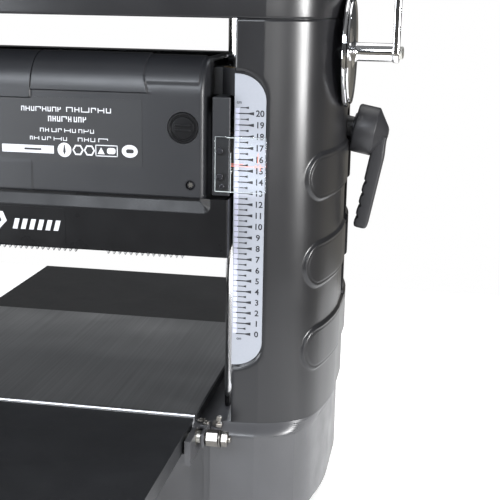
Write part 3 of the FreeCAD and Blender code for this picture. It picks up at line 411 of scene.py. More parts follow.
def arc3(a, m, b, steps):
    """Points on the circle through three points, after a and up to b."""
    (ax, ay), (mx, my), (bx, by) = a, m, b
    d = 2 * (ax * (my - by) + mx * (by - ay) + bx * (ay - my))
    qa, qm, qb = ax * ax + ay * ay, mx * mx + my * my, bx * bx + by * by
    cx = (qa * (my - by) + qm * (by - ay) + qb * (ay - my)) / d
    cy = (qa * (bx - mx) + qm * (ax - bx) + qb * (mx - ax)) / d
    r = math.hypot(ax - cx, ay - cy)
    t0, t1 = math.atan2(ay - cy, ax - cx), math.atan2(by - cy, bx - cx)
    turn = (t1 - t0 + math.pi) % (2 * math.pi) - math.pi
    return [(cx + r * math.cos(t0 + turn * k / steps), cy + r * math.sin(t0 + turn * k / steps))
            for k in range(1, steps + 1)]


def both_signs(values):
    return sorted(set([round(-x, 3) for x in values] + [round(x, 3) for x in values]))


def steps_between(*runs, closest=0.3):
    """Values from one stop to the next, each run (start, end, step), without near repeats."""
    values = []
    for start, end, step in runs:
        n = max(1, round(abs(end - start) / step))
        values += [start + (end - start) * k / n for k in range(n + 1)]
    out = []
    for value in sorted(values):
        if not out or value - out[-1] > closest:
            out.append(value)
    return out


def smooth(t):
    t = min(max(t, 0.0), 1.0)
    return t * t * (3 - 2 * t)


# ---------- skins: grids of points with clean round-ended holes ----------
def capsule_gap(a, b, hole):
    """How far (a, b) lies outside a round-ended hole, and the nearest point of its middle line."""
    (a0, b0), (_, b1), r = hole
    at = Vector((a0, min(max(b, b0), b1)))
    return (Vector((a, b)) - at).length - r, at


def holed_grid(grid, holes, flat, depth, inside=lambda v: True):
    """Faces of a grid with holes cut out; the holes lie in the flat axes and their walls go the depth way."""
    ia, ib = flat
    keep = {}
    for i in range(len(grid) - 1):
        for j in range(len(grid[0]) - 1):
            mid = (grid[i][j] + grid[i + 1][j + 1]) / 2
            keep[i, j] = not (inside(mid) and any(capsule_gap(mid[ia], mid[ib], h)[0] < 0 for h in holes))
    walls = []
    for (i, j), kept in keep.items():
        for di, dj, a, b in ((1, 0, (i + 1, j), (i + 1, j + 1)), (0, 1, (i + 1, j + 1), (i, j + 1)),
                             (-1, 0, (i, j + 1), (i, j)), (0, -1, (i, j), (i + 1, j))):
            if kept and keep.get((i + di, j + dj), True) is False:
                walls.append((a, b))
    for i, j in {q for wall in walls for q in wall}:
        v = grid[i][j]
        near = min(holes, key=lambda h: abs(capsule_gap(v[ia], v[ib], h)[0]))
        at = capsule_gap(v[ia], v[ib], near)[1]
        out = (Vector((v[ia], v[ib])) - at).normalized() * near[2] + at
        v[ia], v[ib] = out
    verts, faces, number = [], [], {}

    def corner(key, point):
        if key not in number:
            number[key] = len(verts)
            verts.append(point)
        return number[key]

    for (i, j), kept in keep.items():
        if kept:
            quad = [(i, j), (i + 1, j), (i + 1, j + 1), (i, j + 1)]
            faces.append(tuple(corner(q, grid[q[0]][q[1]]) for q in quad))
    for a, b in walls:
        deep = [corner(("deep", q), grid[q[0]][q[1]] + depth) for q in (a, b)]
        faces.append((number[b], number[a], deep[0], deep[1]))
    return verts, faces


# ---------- towers ----------
SIDE_X, SIDE_FLAT = 284.5, 30.0
FLAT_END = (224.0, -134.6)  # where the flat front ends and the first arc starts
TOWER_ARCS = (((244.0, -128.8), (262.0, -118.0)), ((271.4, -103.0), (277.0, -84.0)),
              ((282.4, -57.5), (SIDE_X, -SIDE_FLAT)))
ARC_STEPS, SMOOTH_PASSES = 24, 60
DOOR_Y, WALL = 116.0, 4.0
BAND_CENTRES, BAND_HALF, BAND_PROUD = (332.3, 251.1, 170.6), 22.3, 2.5
GROOVE_IN, GROOVE_HALF, GROOVE_DEEP = 4.6, 0.9, 0.5
GAP_WIDTH, BEVEL_START, BEVEL_WIDTH = 1.6, 2.0, 4.0  # of the recess, measured out from the scale
ROUND_IN, ROUND_RUN = 0.9, 1.6  # the rounding of the tower's top and bottom edges
BAND_END = (273.0, -98.2)
SLOT = ((16.0, 202.0), (16.0, 371.0), 12.0)
CRANK_HOLE = ((-30.0, 440.0), (-30.0, 440.0), 9.5)
HOLE_ROWS = ((188.0, 206.0, 1.5), (368.0, 386.0, 1.5), (428.0, 452.0, 1.5))
LINING_LEVELS = (186.0, 387.0, 426.0, 454.0)  # where the lining's openings start and end
POCKET_END, POCKET_LIMIT = (238.0, -130.9), (240.0, -128.0)
SCALE_ROUND = (26.0, 23.0)  # half axes of the scale's right corners


def front_outline(x_start):
    """The tower's plan from x_start on its front to the middle of its side, its arcs smoothed together."""
    out = [(x_start, tower_lo.y), FLAT_END]
    for mid, end in TOWER_ARCS:
        out += arc3(out[-1], mid, end, ARC_STEPS)
    for _ in range(SMOOTH_PASSES):
        inner = [((a[0] + 2 * b[0] + c[0]) / 4, (a[1] + 2 * b[1] + c[1]) / 4)
                 for a, b, c in zip(out[1:], out[2:], out[3:])]
        out = out[:2] + inner + out[-1:]
    return out


def there_and_back(front):
    return front + [(x, -y) for x, y in reversed(front)]


def tower_path():
    """From the doorway edge round the front, the side and the back to the doorway again."""
    x = tower_lo.x
    corner = arc3((x, tower_lo.y + 2.2), (x + 0.65, tower_lo.y + 0.65), (x + 2.2, tower_lo.y), 5)
    door = [(x + WALL, -DOOR_Y), (x, -DOOR_Y), (x, tower_lo.y + 2.2)]
    return Path(there_and_back(door + corner + front_outline(x + 4)))


def pocket_gap(x, z):
    """How far (x, z) lies outside the scale, whose right corners are quarter ellipses."""
    x1, z0, z1, (a, b) = scale_hi.x, scale_lo.z, scale_hi.z, SCALE_ROUND
    low = z < (z0 + z1) / 2
    past = (z0 + b - z) if low else (z - z1 + b)
    if x > x1 - a and past > 0:
        return (math.hypot((x - x1 + a) / a, past / b) - 1) * (a + b) / 2
    return max(x - x1, past - b)


def pocket_depth(gap):
    """The recess's depth, 1 being full: full behind and just round the scale, then a step and a bevel."""
    if gap < GAP_WIDTH:
        return 1.0
    drop, bevel = (gap - GAP_WIDTH) / (BEVEL_START - GAP_WIDTH), (gap - BEVEL_START) / BEVEL_WIDTH
    return 0.55 * smooth(1 - drop) + 0.45 * smooth(1 - bevel)


def band_height(path, s, s_end, z):
    """Raised bands: a rounded step with a fine groove inside it."""
    ds = max(s_end - s, s - (path.length - s_end), 0.0)
    height = 0.0
    for centre in BAND_CENTRES:
        inside = BAND_HALF - math.hypot(ds, z - centre)
        if inside > -0.5:
            groove = max(0.0, 1 - abs(inside - GROOVE_IN) / GROOVE_HALF)
            height = max(height, BAND_PROUD * smooth((inside + 0.3) / 3.2) - GROOVE_DEEP * smooth(groove))
    return height


def tower_columns(path, s_end, with_scale, holes):
    s_on = path.near(tower_lo.x, tower_lo.y + 2.2)
    s_pocket = path.near(*POCKET_END)
    half = steps_between((0.0, WALL, 2.0), (WALL, s_on, 6.0), (s_on, s_on + 5, 0.7),
                         (s_on + 5, s_pocket, 0.9 if with_scale else 5.0), (s_pocket, s_end - 23, 4.0),
                         (s_end - 23, s_end + 2, 1.0), (s_end + 2, path.length / 2, 4.0))
    columns = half + [path.length - s for s in half]
    if holes:
        side = path.near(SIDE_X, -SIDE_FLAT)
        first, last = side - 14, side + SIDE_FLAT + 32
        columns = [s for s in columns if not first < s < last] + steps_between((first, last, 1.5))
    return sorted(set(round(s, 4) for s in columns))


def tower_rows(with_scale, holes):
    low, high = tower_lo.z, tower_hi.z
    fine = [(c - BAND_HALF - 2, c + BAND_HALF + 2, 1.0) for c in BAND_CENTRES]
    if with_scale:
        fine += [(scale_hi.z - 26, scale_hi.z + 7, 1.0)]
    if holes:
        fine += HOLE_ROWS
    gaps, z = [], low + 4
    for start, end, _ in sorted(fine):
        if start > z:
            gaps.append((z, start, 6.0))
        z = max(z, end)
    gaps.append((z, high - 3, 6.0))
    return steps_between((low, low + 4, 1.0), (high - 3, high, 0.75), *fine, *gaps)


def tower_shape(with_scale, holes):
    path = tower_path()
    s_end = path.near(*BAND_END) - 2.4
    low, high = tower_lo.z, tower_hi.z
    rows = tower_rows(with_scale, holes)
    grid = []
    for s in tower_columns(path, s_end, with_scale, holes):
        p, n = path.at(s)
        line = []
        for z in rows:
            h = band_height(path, s, s_end, z)
            h -= ROUND_IN * (smooth(1 - (z - low) / ROUND_RUN) + smooth(1 - (high - z) / ROUND_RUN))
            x, y = p + n * h
            if with_scale and p.x < POCKET_LIMIT[0] and p.y < POCKET_LIMIT[1]:
                y += (scale_hi.y + 0.05 - y) * pocket_depth(pocket_gap(p.x, z))
            line.append(Vector((x, y, z)))
        grid.append(line)
    shape = Shape().add(*holed_grid(grid, holes, (1, 2), Vector((-WALL, 0, 0)), lambda v: v.x > SIDE_X - 5))
    add_tower_lining(shape, holes)
    return shape


def add_tower_lining(shape, holes):
    """The inner face of the tower wall."""
    x = tower_lo.x + WALL
    wall = Path(there_and_back(front_outline(x))).offset(-WALL)
    inner = Path([(x, -DOOR_Y), (x, tower_lo.y + WALL)] + [tuple(p) for p in wall]
                 + [(x, -tower_lo.y - WALL), (x, DOOR_Y)])
    side = inner.near(SIDE_X - WALL, -SIDE_FLAT)
    spots = steps_between((0, side - 15, 12.0), (side - 15, side + 15, 15), (side + 15, side + 62, 15.6),
                          (side + 62, inner.length, 12.0))
    levels = [tower_lo.z, *LINING_LEVELS, TOP_Z]
    for a, b in zip(spots, spots[1:]):
        pa, pb = inner.spot(a), inner.spot(b)
        for z0, z1 in zip(levels, levels[1:]):
            at_side = min(pa.x, pb.x) > SIDE_X - WALL - 2
            if at_side and any(capsule_gap((pa.y + pb.y) / 2, (z0 + z1) / 2, h)[0] < 0 for h in holes):
                continue
            shape.add([(*pb, z0), (*pa, z0), (*pa, z1), (*pb, z1)], [(0, 1, 2, 3)])


piece("tower_right_skin", tower_shape(True, [SLOT, CRANK_HOLE]), "tower_plastic", "frame", ["tower_right"],
      sort=False, sharp=55)
left = tower_shape(False, [])
left.verts = [Vector((-v.x, v.y, v.z)) for v in left.verts]
left.faces = [f[::-1] for f in left.faces]
piece("tower_left_skin", left, "tower_plastic", "frame", ["tower_left"], sort=False, sharp=55)

# ---------- base ends, with the ledge that steps in to the tower ----------
BASE_IN, BASE_SIDE, BASE_FRONT = 182.0, 280.0, 146.0
# (height, how far from the tower's outline to the base's, outward shift)
LEDGE = ((14.0, 1.0, 0.0), (15.5, 1.0, 0.4), (88.0, 1.0, 0.4), (92.0, 1.0, 0.3), (94.2, 0.97, 0.3),
         (95.8, 0.86, 0.4), (97.6, 0.68, 0.5), (99.2, 0.5, 0.5), (100.8, 0.32, 0.5), (102.2, 0.15, 0.5),
         (103.4, 0.05, 0.3), (104.2, 0.0, 0.1))


def end_outline(part):
    """The tower's outline, moved out in front and behind and in at the side by a part of the way."""
    along_x = 1 + part * ((BASE_SIDE - BASE_IN) / (SIDE_X - BASE_IN) - 1)
    along_y = 1 + part * (BASE_FRONT / -tower_lo.y - 1)
    return [(BASE_IN + (x - BASE_IN) * along_x, y * along_y)
            for x, y in there_and_back(front_outline(BASE_IN))]


base = Shape()
base.rings([[(*p, z) for p in Path(end_outline(part)).offset(grow)] for z, part, grow in LEDGE], closed=False)
piece("base_ends", base.both_sides(), "base_paint", "frame", sharp=55)

# ---------- top cover ----------
# (height above the towers, outward shift)
TOP_RIM = ((0.4, -4.2), (0.4, -0.9), (1.2, -0.2), (2.5, 0.0), (28.0, 0.0), (32.0, -0.6), (35.5, -2.2),
           (38.5, -4.8), (40.6, -8.0), (41.7, -12.0), (42.0, -16.0), (42.0, -18.0), (41.2, -19.5),
           (40.6, -22.0))
right_half = Path(there_and_back(front_outline(0.0)))
top_rings = []
for up, grow in TOP_RIM:
    half = right_half.offset(grow)[1:-1]
    top_rings.append([(*p, TOP_Z + up) for p in half] + [(-p.x, p.y, TOP_Z + up) for p in reversed(half)])
top_rings.append([(x * 0.97, y * 0.95, z) for x, y, z in top_rings[-1]])
top = Shape().rings(top_rings, caps=False)
n = len(top_rings[0])
first = len(top.verts) - n
# strips from left to right close the panel, which one many-sided face would crease
top.faces += [(first + k, first + k + 1, first + n - 2 - k, first + n - 1 - k) for k in range(n // 2 - 1)]
piece("top_shell", top, "tower_plastic", "frame", ["top_cover"], sharp=60)

# ---------- ears that carry the return rollers ----------
ROLLER_Y, ROLLER_Z, EAR_R, EAR_THICK = 88.0, 524.0, 12.0, 5.0
FOOT_LOW, FOOT_TOP = 510.5, 513.5
EAR_SCREW = [(0, 0), (0, 3.2), (1.4, 2.8), (1.9, 1.8), (1.9, 0)]
ears, ear_screws = Shape(), Shape()
for x in (-139.0, 134.0):
    for y in (-ROLLER_Y, ROLLER_Y):
        crown = polygon(y, ROLLER_Z, EAR_R, 28)[:15]
        ears.prism([(y - EAR_R, FOOT_LOW), (y + EAR_R, FOOT_LOW)] + crown, "x", x, x + EAR_THICK)
        foot_x = (x - 12, x + 2) if x < 0 else (x + 3, x + 17)
        ears.block((foot_x[0], y - EAR_R, FOOT_LOW), (foot_x[1], y + EAR_R, FOOT_TOP))
        for dy in (-7, 7):
            cx = sum(foot_x) / 2 + (-3 if x < 0 else 3)
            ear_screws.lathe(EAR_SCREW, (cx, y + dy, FOOT_TOP - 0.1), (0, 0, 1), 20)
piece("roller_ears", ears, "base_paint", "frame", rounding=0.7)
piece("ear_screws", ear_screws, "zinc", "frame")


# ---------- motor cover ----------
COVER_R, COVER_SIDE, COVER_LOW, COVER_BACK_Y, TOP_SUNK = 32.0, 4.0, 2.5, -44.0, 9.0
LIP_X, LIP_Z, BLOCK_X, BLOCK_Z, LEDGE_Z = 122.0, 406.5, 19.5, 399.0, 415.0
PATCH_X, PATCH_Z = 18.5, 344.0
BRUSH_X, BRUSH_Z, BRUSH_R = 157.0, 377.5, 13.8
COVER_SCREWS = ((163.5, 327.7), (-163.5, 327.7))
SCREW_HOLE_R, SIDE_CUT_Y, SIDE_HUB = 4.4, -112.0, (-130.0, 372.0)
LEAN_FROM, LEAN_TO = 112, 126  # the columns the leaning edge of the lip crosses
FORWARD = (0, -1, 0)


def step_at(value, edge, width=0.9):
    return smooth((value - edge) / width + 0.5)


def cover_height(x, z):
    """Raised panels moulded on the cover."""
    lean = LIP_X + 4.0 - 4.0 * min(1.0, max(0.0, (z - LIP_Z) / 14))
    lip = step_at(z, LIP_Z) * step_at(x, BLOCK_X, 0.8) * step_at(lean, x) * 2.2
    block = step_at(z, BLOCK_Z) * step_at(BLOCK_X, x, 0.8) * step_at(x, -BLOCK_X - 104) * 2.0
    ledge = step_at(z, LEDGE_Z) * step_at(x, lean) * 1.3
    patch = step_at(PATCH_X, x) * step_at(PATCH_Z, z) * step_at(x, -PATCH_X - 60) * 0.7
    seam = -0.8 * max(0.0, 1 - abs(x - BLOCK_X) / 0.6) * step_at(z, BLOCK_Z - 2)
    return max(lip, block, ledge) + patch + seam


def drawn_in(over, r):
    """How far a rounded edge of radius r has drawn in, over past the point where it starts."""
    return r - math.sqrt(max(0.0, r ** 2 - over ** 2)) if over > 0 else 0.0


def motor_cover_shape():
    x_end, low, high = cover_hi.x, cover_lo.z, cover_hi.z
    top_y, front_z, part = FRONT_Y + COVER_R, high - COVER_R, COVER_R * (1 - math.sqrt(0.5))
    arc = arc3((top_y, high), (FRONT_Y + part, high - part), (FRONT_Y, front_z), 16)
    section = Path([(COVER_BACK_Y, high), (top_y, high)] + arc + [(FRONT_Y, low)])
    arc_start, end = COVER_BACK_Y - top_y, section.length
    arc_end = end - (front_z - low)
    rows = steps_between((0, arc_start - 8, 18), (arc_start - 8, arc_start, 1.0), (arc_start, arc_end, 1.2),
                         (arc_end, arc_end + 8, 0.8), (end - 30, end - 3.2, 3), (end - 3.2, end, 0.5),
                         (arc_end + 8, end - 30, 1.3))
    columns = both_signs(steps_between((0, BLOCK_X - 2, 8), (BLOCK_X - 2, BLOCK_X + 2, 0.4),
                                       (BLOCK_X + 2, LEAN_FROM, 8), (LEAN_FROM, LEAN_TO, 1.0))
                         + steps_between((x_end - COVER_SIDE, x_end, 0.6),
                                         (x_end - 32, x_end - COVER_SIDE, 1.3), (LEAN_TO, x_end - 32, 2.5)))
    grid = []
    for x in columns:
        line, over = [], abs(x) - (x_end - COVER_SIDE)
        for s in rows:
            p, n = section.at(s)
            h = cover_height(x, p.y) if over < 0 else 0.0
            h -= drawn_in(over, COVER_SIDE) + drawn_in(low + COVER_LOW - p.y, COVER_LOW)
            if over < 0:
                h -= TOP_SUNK * smooth((p.x - top_y - 2) / 3.0) * smooth(-over / 3.0)
            line.append(Vector((x, p.x + n.x * h, p.y + n.y * h)))
        grid.append(line)
    brush_at = (BRUSH_X, BRUSH_Z)
    holes = [(at, at, SCREW_HOLE_R) for at in COVER_SCREWS] + [(brush_at, brush_at, BRUSH_R)]
    shape = Shape().add(*holed_grid(grid, holes, (0, 2), Vector((0, 3.0, 0)),
                                    lambda v: v.y < FRONT_Y + 2 and v.z < front_z))
    for line, x in ((grid[0], columns[0]), (grid[-1], columns[-1])):
        rim = [v for v in line if v.y < SIDE_CUT_Y]
        rim += [Vector((x, SIDE_CUT_Y, low)), Vector((x, SIDE_CUT_Y, high - 6))]
        shape.add([(x, *SIDE_HUB)] + rim,
                  [(0, k, k + 1) for k in range(1, len(rim))] + [(0, len(rim), 1)])
    back = grid[0][0].z
    strip = rect(columns[0], columns[-1], back, back - 6)
    shape.add([(x, COVER_BACK_Y, z) for x, z in strip], [(0, 1, 2, 3)])
    return shape


piece("motor_cover_skin", motor_cover_shape(), "cover_plastic", "head", ["motor_cover"], sharp=45)


def cap_screw(shape, dark, at, way, r, socket):
    """A socket head: a rounded drum with a round hole, and in it a six-sided plug, put in dark, that paints
    the socket's shade.
    """
    shape.lathe([(-3, 0), (-3, r), (-0.4, r), (0, r - 0.4), (0, socket * 1.16), (-1.6, socket * 1.16),
                 (-1.6, 0)], at, way, 28)
    u, v = axes_of(way)
    lip = [Vector(at) + u * a + v * b for a, b in polygon(0, 0, socket * 2 / math.sqrt(3), 6)]
    dark.rings([[p - Vector(way) * deep for p in lip] for deep in (0.02, 1.5)])


HOLE_RIM = ((0, 4.0), (0, 4.9), (-0.25, 4.8), (-0.25, 4.1))
screws, sockets = Shape(), Shape()
for x, z in COVER_SCREWS:
    cap_screw(screws, sockets, (x, FRONT_Y + 1.2, z), FORWARD, 3.6, 2.0)
    screws.lathe(HOLE_RIM, (x, FRONT_Y - 0.05, z), FORWARD, 32, loop=True)
piece("cover_screws", screws, "black_oxide", "head")
# the socket plugs paint the shade inside the screws' sockets
piece("cover_socket_shade", sockets, "dull_zinc", "head")

# brush caps: a rimmed disc with a driver slot between two bars, in front and behind
CAP_RIM = ((-4, 0.6), (0.2, 0), (0.9, 0.5), (1.0, 1.8), (0.3, 2.4), (0.3, 3.4), (1.1, 4.0), (1.2, 4.6))
caps, bars = Shape(), Shape()
for way, disc_y, r, bar_y, half in ((-1, FRONT_Y, BRUSH_R - 0.4, FRONT_Y - 1.25, 7.2),
                                    (1, caps_back_y - 2.5, 9.0, caps_back_y - 1.25, 3.6)):
    caps.lathe([(-4, 0)] + [(a, r - inward) for a, inward in CAP_RIM] + [(1.2, 0)],
               (BRUSH_X, disc_y, BRUSH_Z), (0, way, 0), 56)
    for z0 in (BRUSH_Z - 3.2, BRUSH_Z + 1.2):
        bars.block((BRUSH_X - half, bar_y, z0), (BRUSH_X + half, bar_y + way * 0.9, z0 + 2.0))
piece("brush_cap_discs", caps, "skirt_paint", "head", ["brush_caps"])
piece("brush_cap_bars", bars, "skirt_paint", "head", rounding=0.4)

# ---------- rating label: plain film with lines and plain marks for print ----------
LABEL = (-10.0, 120.5, 341.5, 400.0)
PRINT_Y, INK, CUT_INK = FRONT_Y - 0.26, 0.06, 0.1
label = Shape().sheet(round_rect(*LABEL, 1.0), FRONT_Y + 0.3, 0.55)
piece("label_film", label, "label_film", "head")

# (x0, x1, z0, z1, widths of the letters and of the gaps between them)
PRINT_ROWS = ((10.3, 47.0, 387.4, 391.6, "314131514131413"), (52.0, 92.8, 387.6, 391.9, "41315131413"),
              (35.0, 70.0, 378.8, 383.6, "313131513231313"), (27.2, 77.0, 369.4, 372.8, "31324132513231413"),
              (17.6, 52.0, 362.0, 365.2, "21423132613"), (62.0, 89.6, 362.0, 365.4, "3131326"))


def print_row(shape, x0, x1, z0, z1, widths):
    """Open strokes filling a row, standing for a line of print."""
    widths = [int(w) for w in widths]
    stroke, x = 0.16 * (z1 - z0) + 0.12, x0
    for k, w in enumerate(widths):
        step, letter = (x1 - x0) * w / sum(widths), k // 2
        if k % 2 == 0:
            right, middle = x + step - stroke, (z0 + z1) / 2
            level = (z1 - stroke, middle - stroke / 2, z0)[letter % 3]
            shape.sheet(rect(x, x + stroke, z0, z1), PRINT_Y, INK)
            shape.sheet(rect(right, x + step, middle if letter % 4 == 3 else z0, z1), PRINT_Y, INK)
            shape.sheet(rect(x + stroke, right, level, level + stroke), PRINT_Y, INK)
        x += step


marks, cuts = Shape(), Shape()
for row in PRINT_ROWS:
    print_row(marks, *row)
for outline in (round_rect(-9.0, 39.6, 350.2, 357.2, 0.4), polygon(49.4, 354.0, 6.4, 32),
                polygon(62.0, 354.4, 5.2, 6), polygon(72.5, 354.4, 5.2, 6),
                rect(78.0, 78.8, 349.6, 359.8), rect(97.6, 98.4, 349.6, 359.8),
                rect(78.0, 98.4, 349.6, 350.4), rect(78.0, 98.4, 359.0, 359.8),
                [(80.0, 351.6), (86.5, 351.6), (83.2, 357.6)], round_rect(88.6, 96.4, 352.0, 357.4, 2.2),
                polygon(109.3, 355.2, 7.2, 36, 5.6)):
    marks.sheet(outline, PRINT_Y, INK)
for outline in ([(49.4, 349.6), (50.6, 352.6), (49.8, 358.4), (49.0, 358.4), (48.2, 352.6)],
                round_rect(12.0, 28.0, 352.8, 354.6, 0.5), polygon(62.0, 354.4, 3.7, 6),
                polygon(72.5, 354.4, 3.7, 6), round_rect(106.0, 113.0, 353.4, 357.0, 1.6)):
    cuts.sheet(outline, PRINT_Y, CUT_INK)
piece("label_marks", marks, "ink_white", "head")
piece("label_cutouts", cuts, "label_film", "head")

# ---------- skirt below the cover ----------
OPEN_X, OPEN_Z, OPEN_R, BEVEL_RUN, BEVEL_DEEP = 181.5, 303.0, 7.0, 10.0, 4.5
SKIRT_BACK = -115.0


def skirt_shape():
    x_end, low, high = skirt_hi.x, skirt_lo.z, skirt_hi.z + 3
    columns = both_signs(steps_between((0, OPEN_X - 16, 14), (OPEN_X - 16, OPEN_X + 1, 0.8),
                                       (OPEN_X + 1, x_end - 1.5, 4), (x_end - 1.5, x_end, 0.4)))
    rows = steps_between((low, low + 1.6, 0.4), (low + 1.6, OPEN_Z - 2, 6), (OPEN_Z - 2, high, 0.8))
    grid = []
    for x in columns:
        line = [Vector((x, FRONT_Y + 3.2, low + 2)), Vector((x, FRONT_Y + 3.0, low))]
        for z in rows:
            dx, dz = OPEN_X - abs(x), z - OPEN_Z
            inside = min(dx, dz)
            if dx < OPEN_R and dz < OPEN_R:
                inside = OPEN_R - math.hypot(OPEN_R - dx, OPEN_R - dz)
            deep = BEVEL_DEEP * min(1.0, max(0.0, inside / BEVEL_RUN))
            deep += 0.8 * smooth(1 - (z - low) / 1.2) + 0.8 * smooth(1 - (x_end - abs(x)) / 1.2)
            line.append(Vector((x, FRONT_Y + deep, z)))
        grid.append(line + [Vector((x, SKIRT_BACK, high))])
    shape = Shape().add(*holed_grid(grid, [], (0, 2), Vector((0, 0, 0))))
    end = [(FRONT_Y + 0.8, low + 1), (FRONT_Y + 0.8, high), (SKIRT_BACK, high), (SKIRT_BACK + 3, low + 10)]
    for x0, x1 in ((-x_end, -x_end + 3), (x_end - 3, x_end)):
        shape.prism(end, "x", x0, x1)
    return shape


piece("skirt_skin", skirt_shape(), "skirt_paint", "head", ["front_skirt"], sharp=45)
EMBLEM_FILM, EMBLEM_Y, EMBLEM_INK = (-50.0, 48.0, 267.5, 301.0), FRONT_Y - 0.2, 0.1
ARROW = [(-21.0, 278.5), (-15.5, 278.5), (-7.5, 287.0), (-11.0, 295.5), (-16.0, 295.5), (-12.5, 287.0)]
label = Shape().sheet(round_rect(*EMBLEM_FILM, 1.0), FRONT_Y + 0.3, 0.5)
piece("emblem_film", label, "skirt_paint", "head")
emblem = Shape()
for x in [-2.0 + 7.8 * k for k in range(6)]:
    emblem.sheet([(x, 280.0), (x + 4.4, 280.0), (x + 7.0, 289.6), (x + 2.6, 289.6)], EMBLEM_Y, EMBLEM_INK)
emblem.sheet(ARROW, EMBLEM_Y, EMBLEM_INK)
piece("emblem_marks", emblem, "ink_white", "head")

# ---------- indicator ----------
bracket = Shape().block(bracket_lo, (bracket_hi.x, bracket_lo.y + 4, bracket_hi.z))
bracket.block(bracket_lo + Vector((0, 3, bracket_hi.z - bracket_lo.z - 15)),
              (bracket_lo.x + 11, bracket_hi.y, bracket_hi.z))
piece("indicator_arm", bracket, "cover_plastic", "head", ["indicator_bracket"], rounding=0.8)
x0, x1, z0, z1 = plate_lo.x, plate_hi.x, plate_lo.z, plate_hi.z
window = Shape().prism(round_rect(x0, x1, z0, z1, 0.8), "y", plate_lo.y, plate_hi.y)
pane = piece("indicator_window", window, "clear_acrylic", "head", ["indicator_plate"], rounding=0.35,
             segments=2)
pane.visible_shadow = False
# painted highlights: light strips along the window's edges, where the acrylic catches light: (from, to,
# width)
WINDOW_EDGE_HIGHLIGHTS = (((x0 + 0.5, z0 + 0.5), (x0 + 0.5, z1 - 0.5), 0.55),
                ((x0 + 0.3, z0 + 0.6), (x1 - 1, z0 + 0.4), 0.8),
                ((x0 + 14.2, z0 + 1), (x0 + 14.2, z1 - 14), 0.6),
                ((x0 + 0.5, z1 - 0.5), (x0 + 13, z1 - 0.5), 0.25),
                ((x0 + 10.6, z1 - 1.0), (x1 - 0.4, z1 - 1.0), 0.7))
# thin light strips laid inside the window's edges: a painted highlight
edges = Shape()
for a, b, w in WINDOW_EDGE_HIGHLIGHTS:
    a, b = Vector(a), Vector(b)
    run = (b - a).normalized()
    side = Vector((-run.y, run.x)) * w / 2
    edges.sheet([a + side, b + side * 0.7, b - side * 0.7, a - side], plate_lo.y + 0.26, 0.3)
piece("window_edge_highlights", edges, "cut_acrylic", "head", slot="clear_acrylic")
WINDOW_SCREWS = ((188.3, 358.2, 3.1), (188.5, 335.6, 3.1), (190.5, 327.2, 2.1))
window_screws, slot_shade, hairline = Shape(), Shape(), Shape()
for x, z, r in WINDOW_SCREWS:
    window_screws.lathe([(-2.9, 0), (-2.9, 1.4), (0, 1.4), (0, r), (0.5, r), (1.0, r * 0.86), (1.1, r * 0.72),
                         (0.5, r * 0.62), (0.5, 0)], (x, plate_lo.y, z), FORWARD, 28)
    # black crosses on the heads stand for the slots: painted shade, not cut recesses
    for dx, dz in ((r * 0.55, 0.3), (0.3, r * 0.55)):
        slot_shade.block((x - dx, plate_lo.y - 0.62, z - dz), (x + dx, plate_lo.y - 0.4, z + dz))
piece("window_screws", window_screws, "black_oxide", "head", sharp=30)
piece("window_slot_shade", slot_shade, "ink_black", "head")
for outline in (rect(198.0, 227.0, 345.0, 345.4), rect(198.0, 209.0, 346.9, 347.2),
                [(221.6, 348.6), (222.4, 348.6), (222.2, 357.2), (221.8, 357.2)],
                rect(219.6, 220.3, 343.9, 346.6), rect(223.4, 224.1, 341.9, 347.4)):
    hairline.sheet(outline, plate_hi.y - 0.02, 0.1)
piece("window_hairline", hairline, "ink_red", "head")

# ---------- scale print ----------
SCALE_ZERO, TICK_Y, TICK_INK = 190.0, scale_lo.y - 0.03, 0.04
LONG_TICK, SHORT_TICK = (202.6, 216.2, 1.0, 2.9), (204.2, 211.6, 0.8, 2.2)
ticks, fine_ticks = Shape(), Shape()


def tick(shape, z, x0, x1, thin, thick):
    """A stroke that widens towards the figures."""
    mid = x0 + (x1 - x0) * 0.62
    shape.sheet([(x0, z - thin / 2), (mid, z - thin / 2), (x1, z - thick / 2), (x1, z + thick / 2),
                 (mid, z + thin / 2), (x0, z + thin / 2)], TICK_Y, TICK_INK)


for half_cm in range(42):
    tick(ticks, SCALE_ZERO + 5.0 * half_cm, *(SHORT_TICK if half_cm % 2 else LONG_TICK))
for mm in range(206):
    if mm % 5:
        fine_ticks.sheet(rect(199.8, 203.4, SCALE_ZERO + mm - 0.34, SCALE_ZERO + mm + 0.34), TICK_Y, TICK_INK)
piece("scale_ticks", ticks, "ink_black", "frame")
piece("scale_fine_ticks", fine_ticks, "ink_lavender", "frame")


def lettering(name, rows, size, bold, material, body):
    """Upright figures on a plane that faces -Y; rows are (text, x, z), centred on x."""
    shape = Shape()
    for text, x, z in rows:
        curve = bpy.data.curves.new(name, "FONT")
        curve.body, curve.size, curve.offset = text, size * 1.36, bold
        curve.align_x, curve.align_y = "CENTER", "CENTER"
        curve.resolution_u, curve.fill_mode = 4, "FRONT"
        obj = bpy.data.objects.new(name, curve)
        bpy.context.collection.objects.link(obj)
        bpy.context.view_layer.update()
        mesh = bpy.data.meshes.new_from_object(obj.evaluated_get(bpy.context.evaluated_depsgraph_get()))
        shape.add([(x + v.co.x, TICK_Y - 0.05, z + v.co.y) for v in mesh.vertices],
                  [tuple(p.vertices) for p in mesh.polygons])
        bpy.data.objects.remove(obj)
        bpy.data.curves.remove(curve)
    piece(name, shape, material, body, sort=False)


figures = [(str(cm), 221.5, SCALE_ZERO + 10 * cm) for cm in range(21)]
lettering("scale_figures", figures, 5.6, 0.15, "ink_black", "frame")
lettering("scale_unit", [("cm", 203.0, 399.6), ("cm", 205.6, 185.4)], 2.7, 0.1, "ink_black", "frame")


# ---------- fingers that stop the board flying back ----------
PAWL_Y, PAWL_Z, PAWL_TIP, PAWL_PITCH, PAWL_WIDTH = -141.0, 285.0, 260.2, 5.3, 4.4
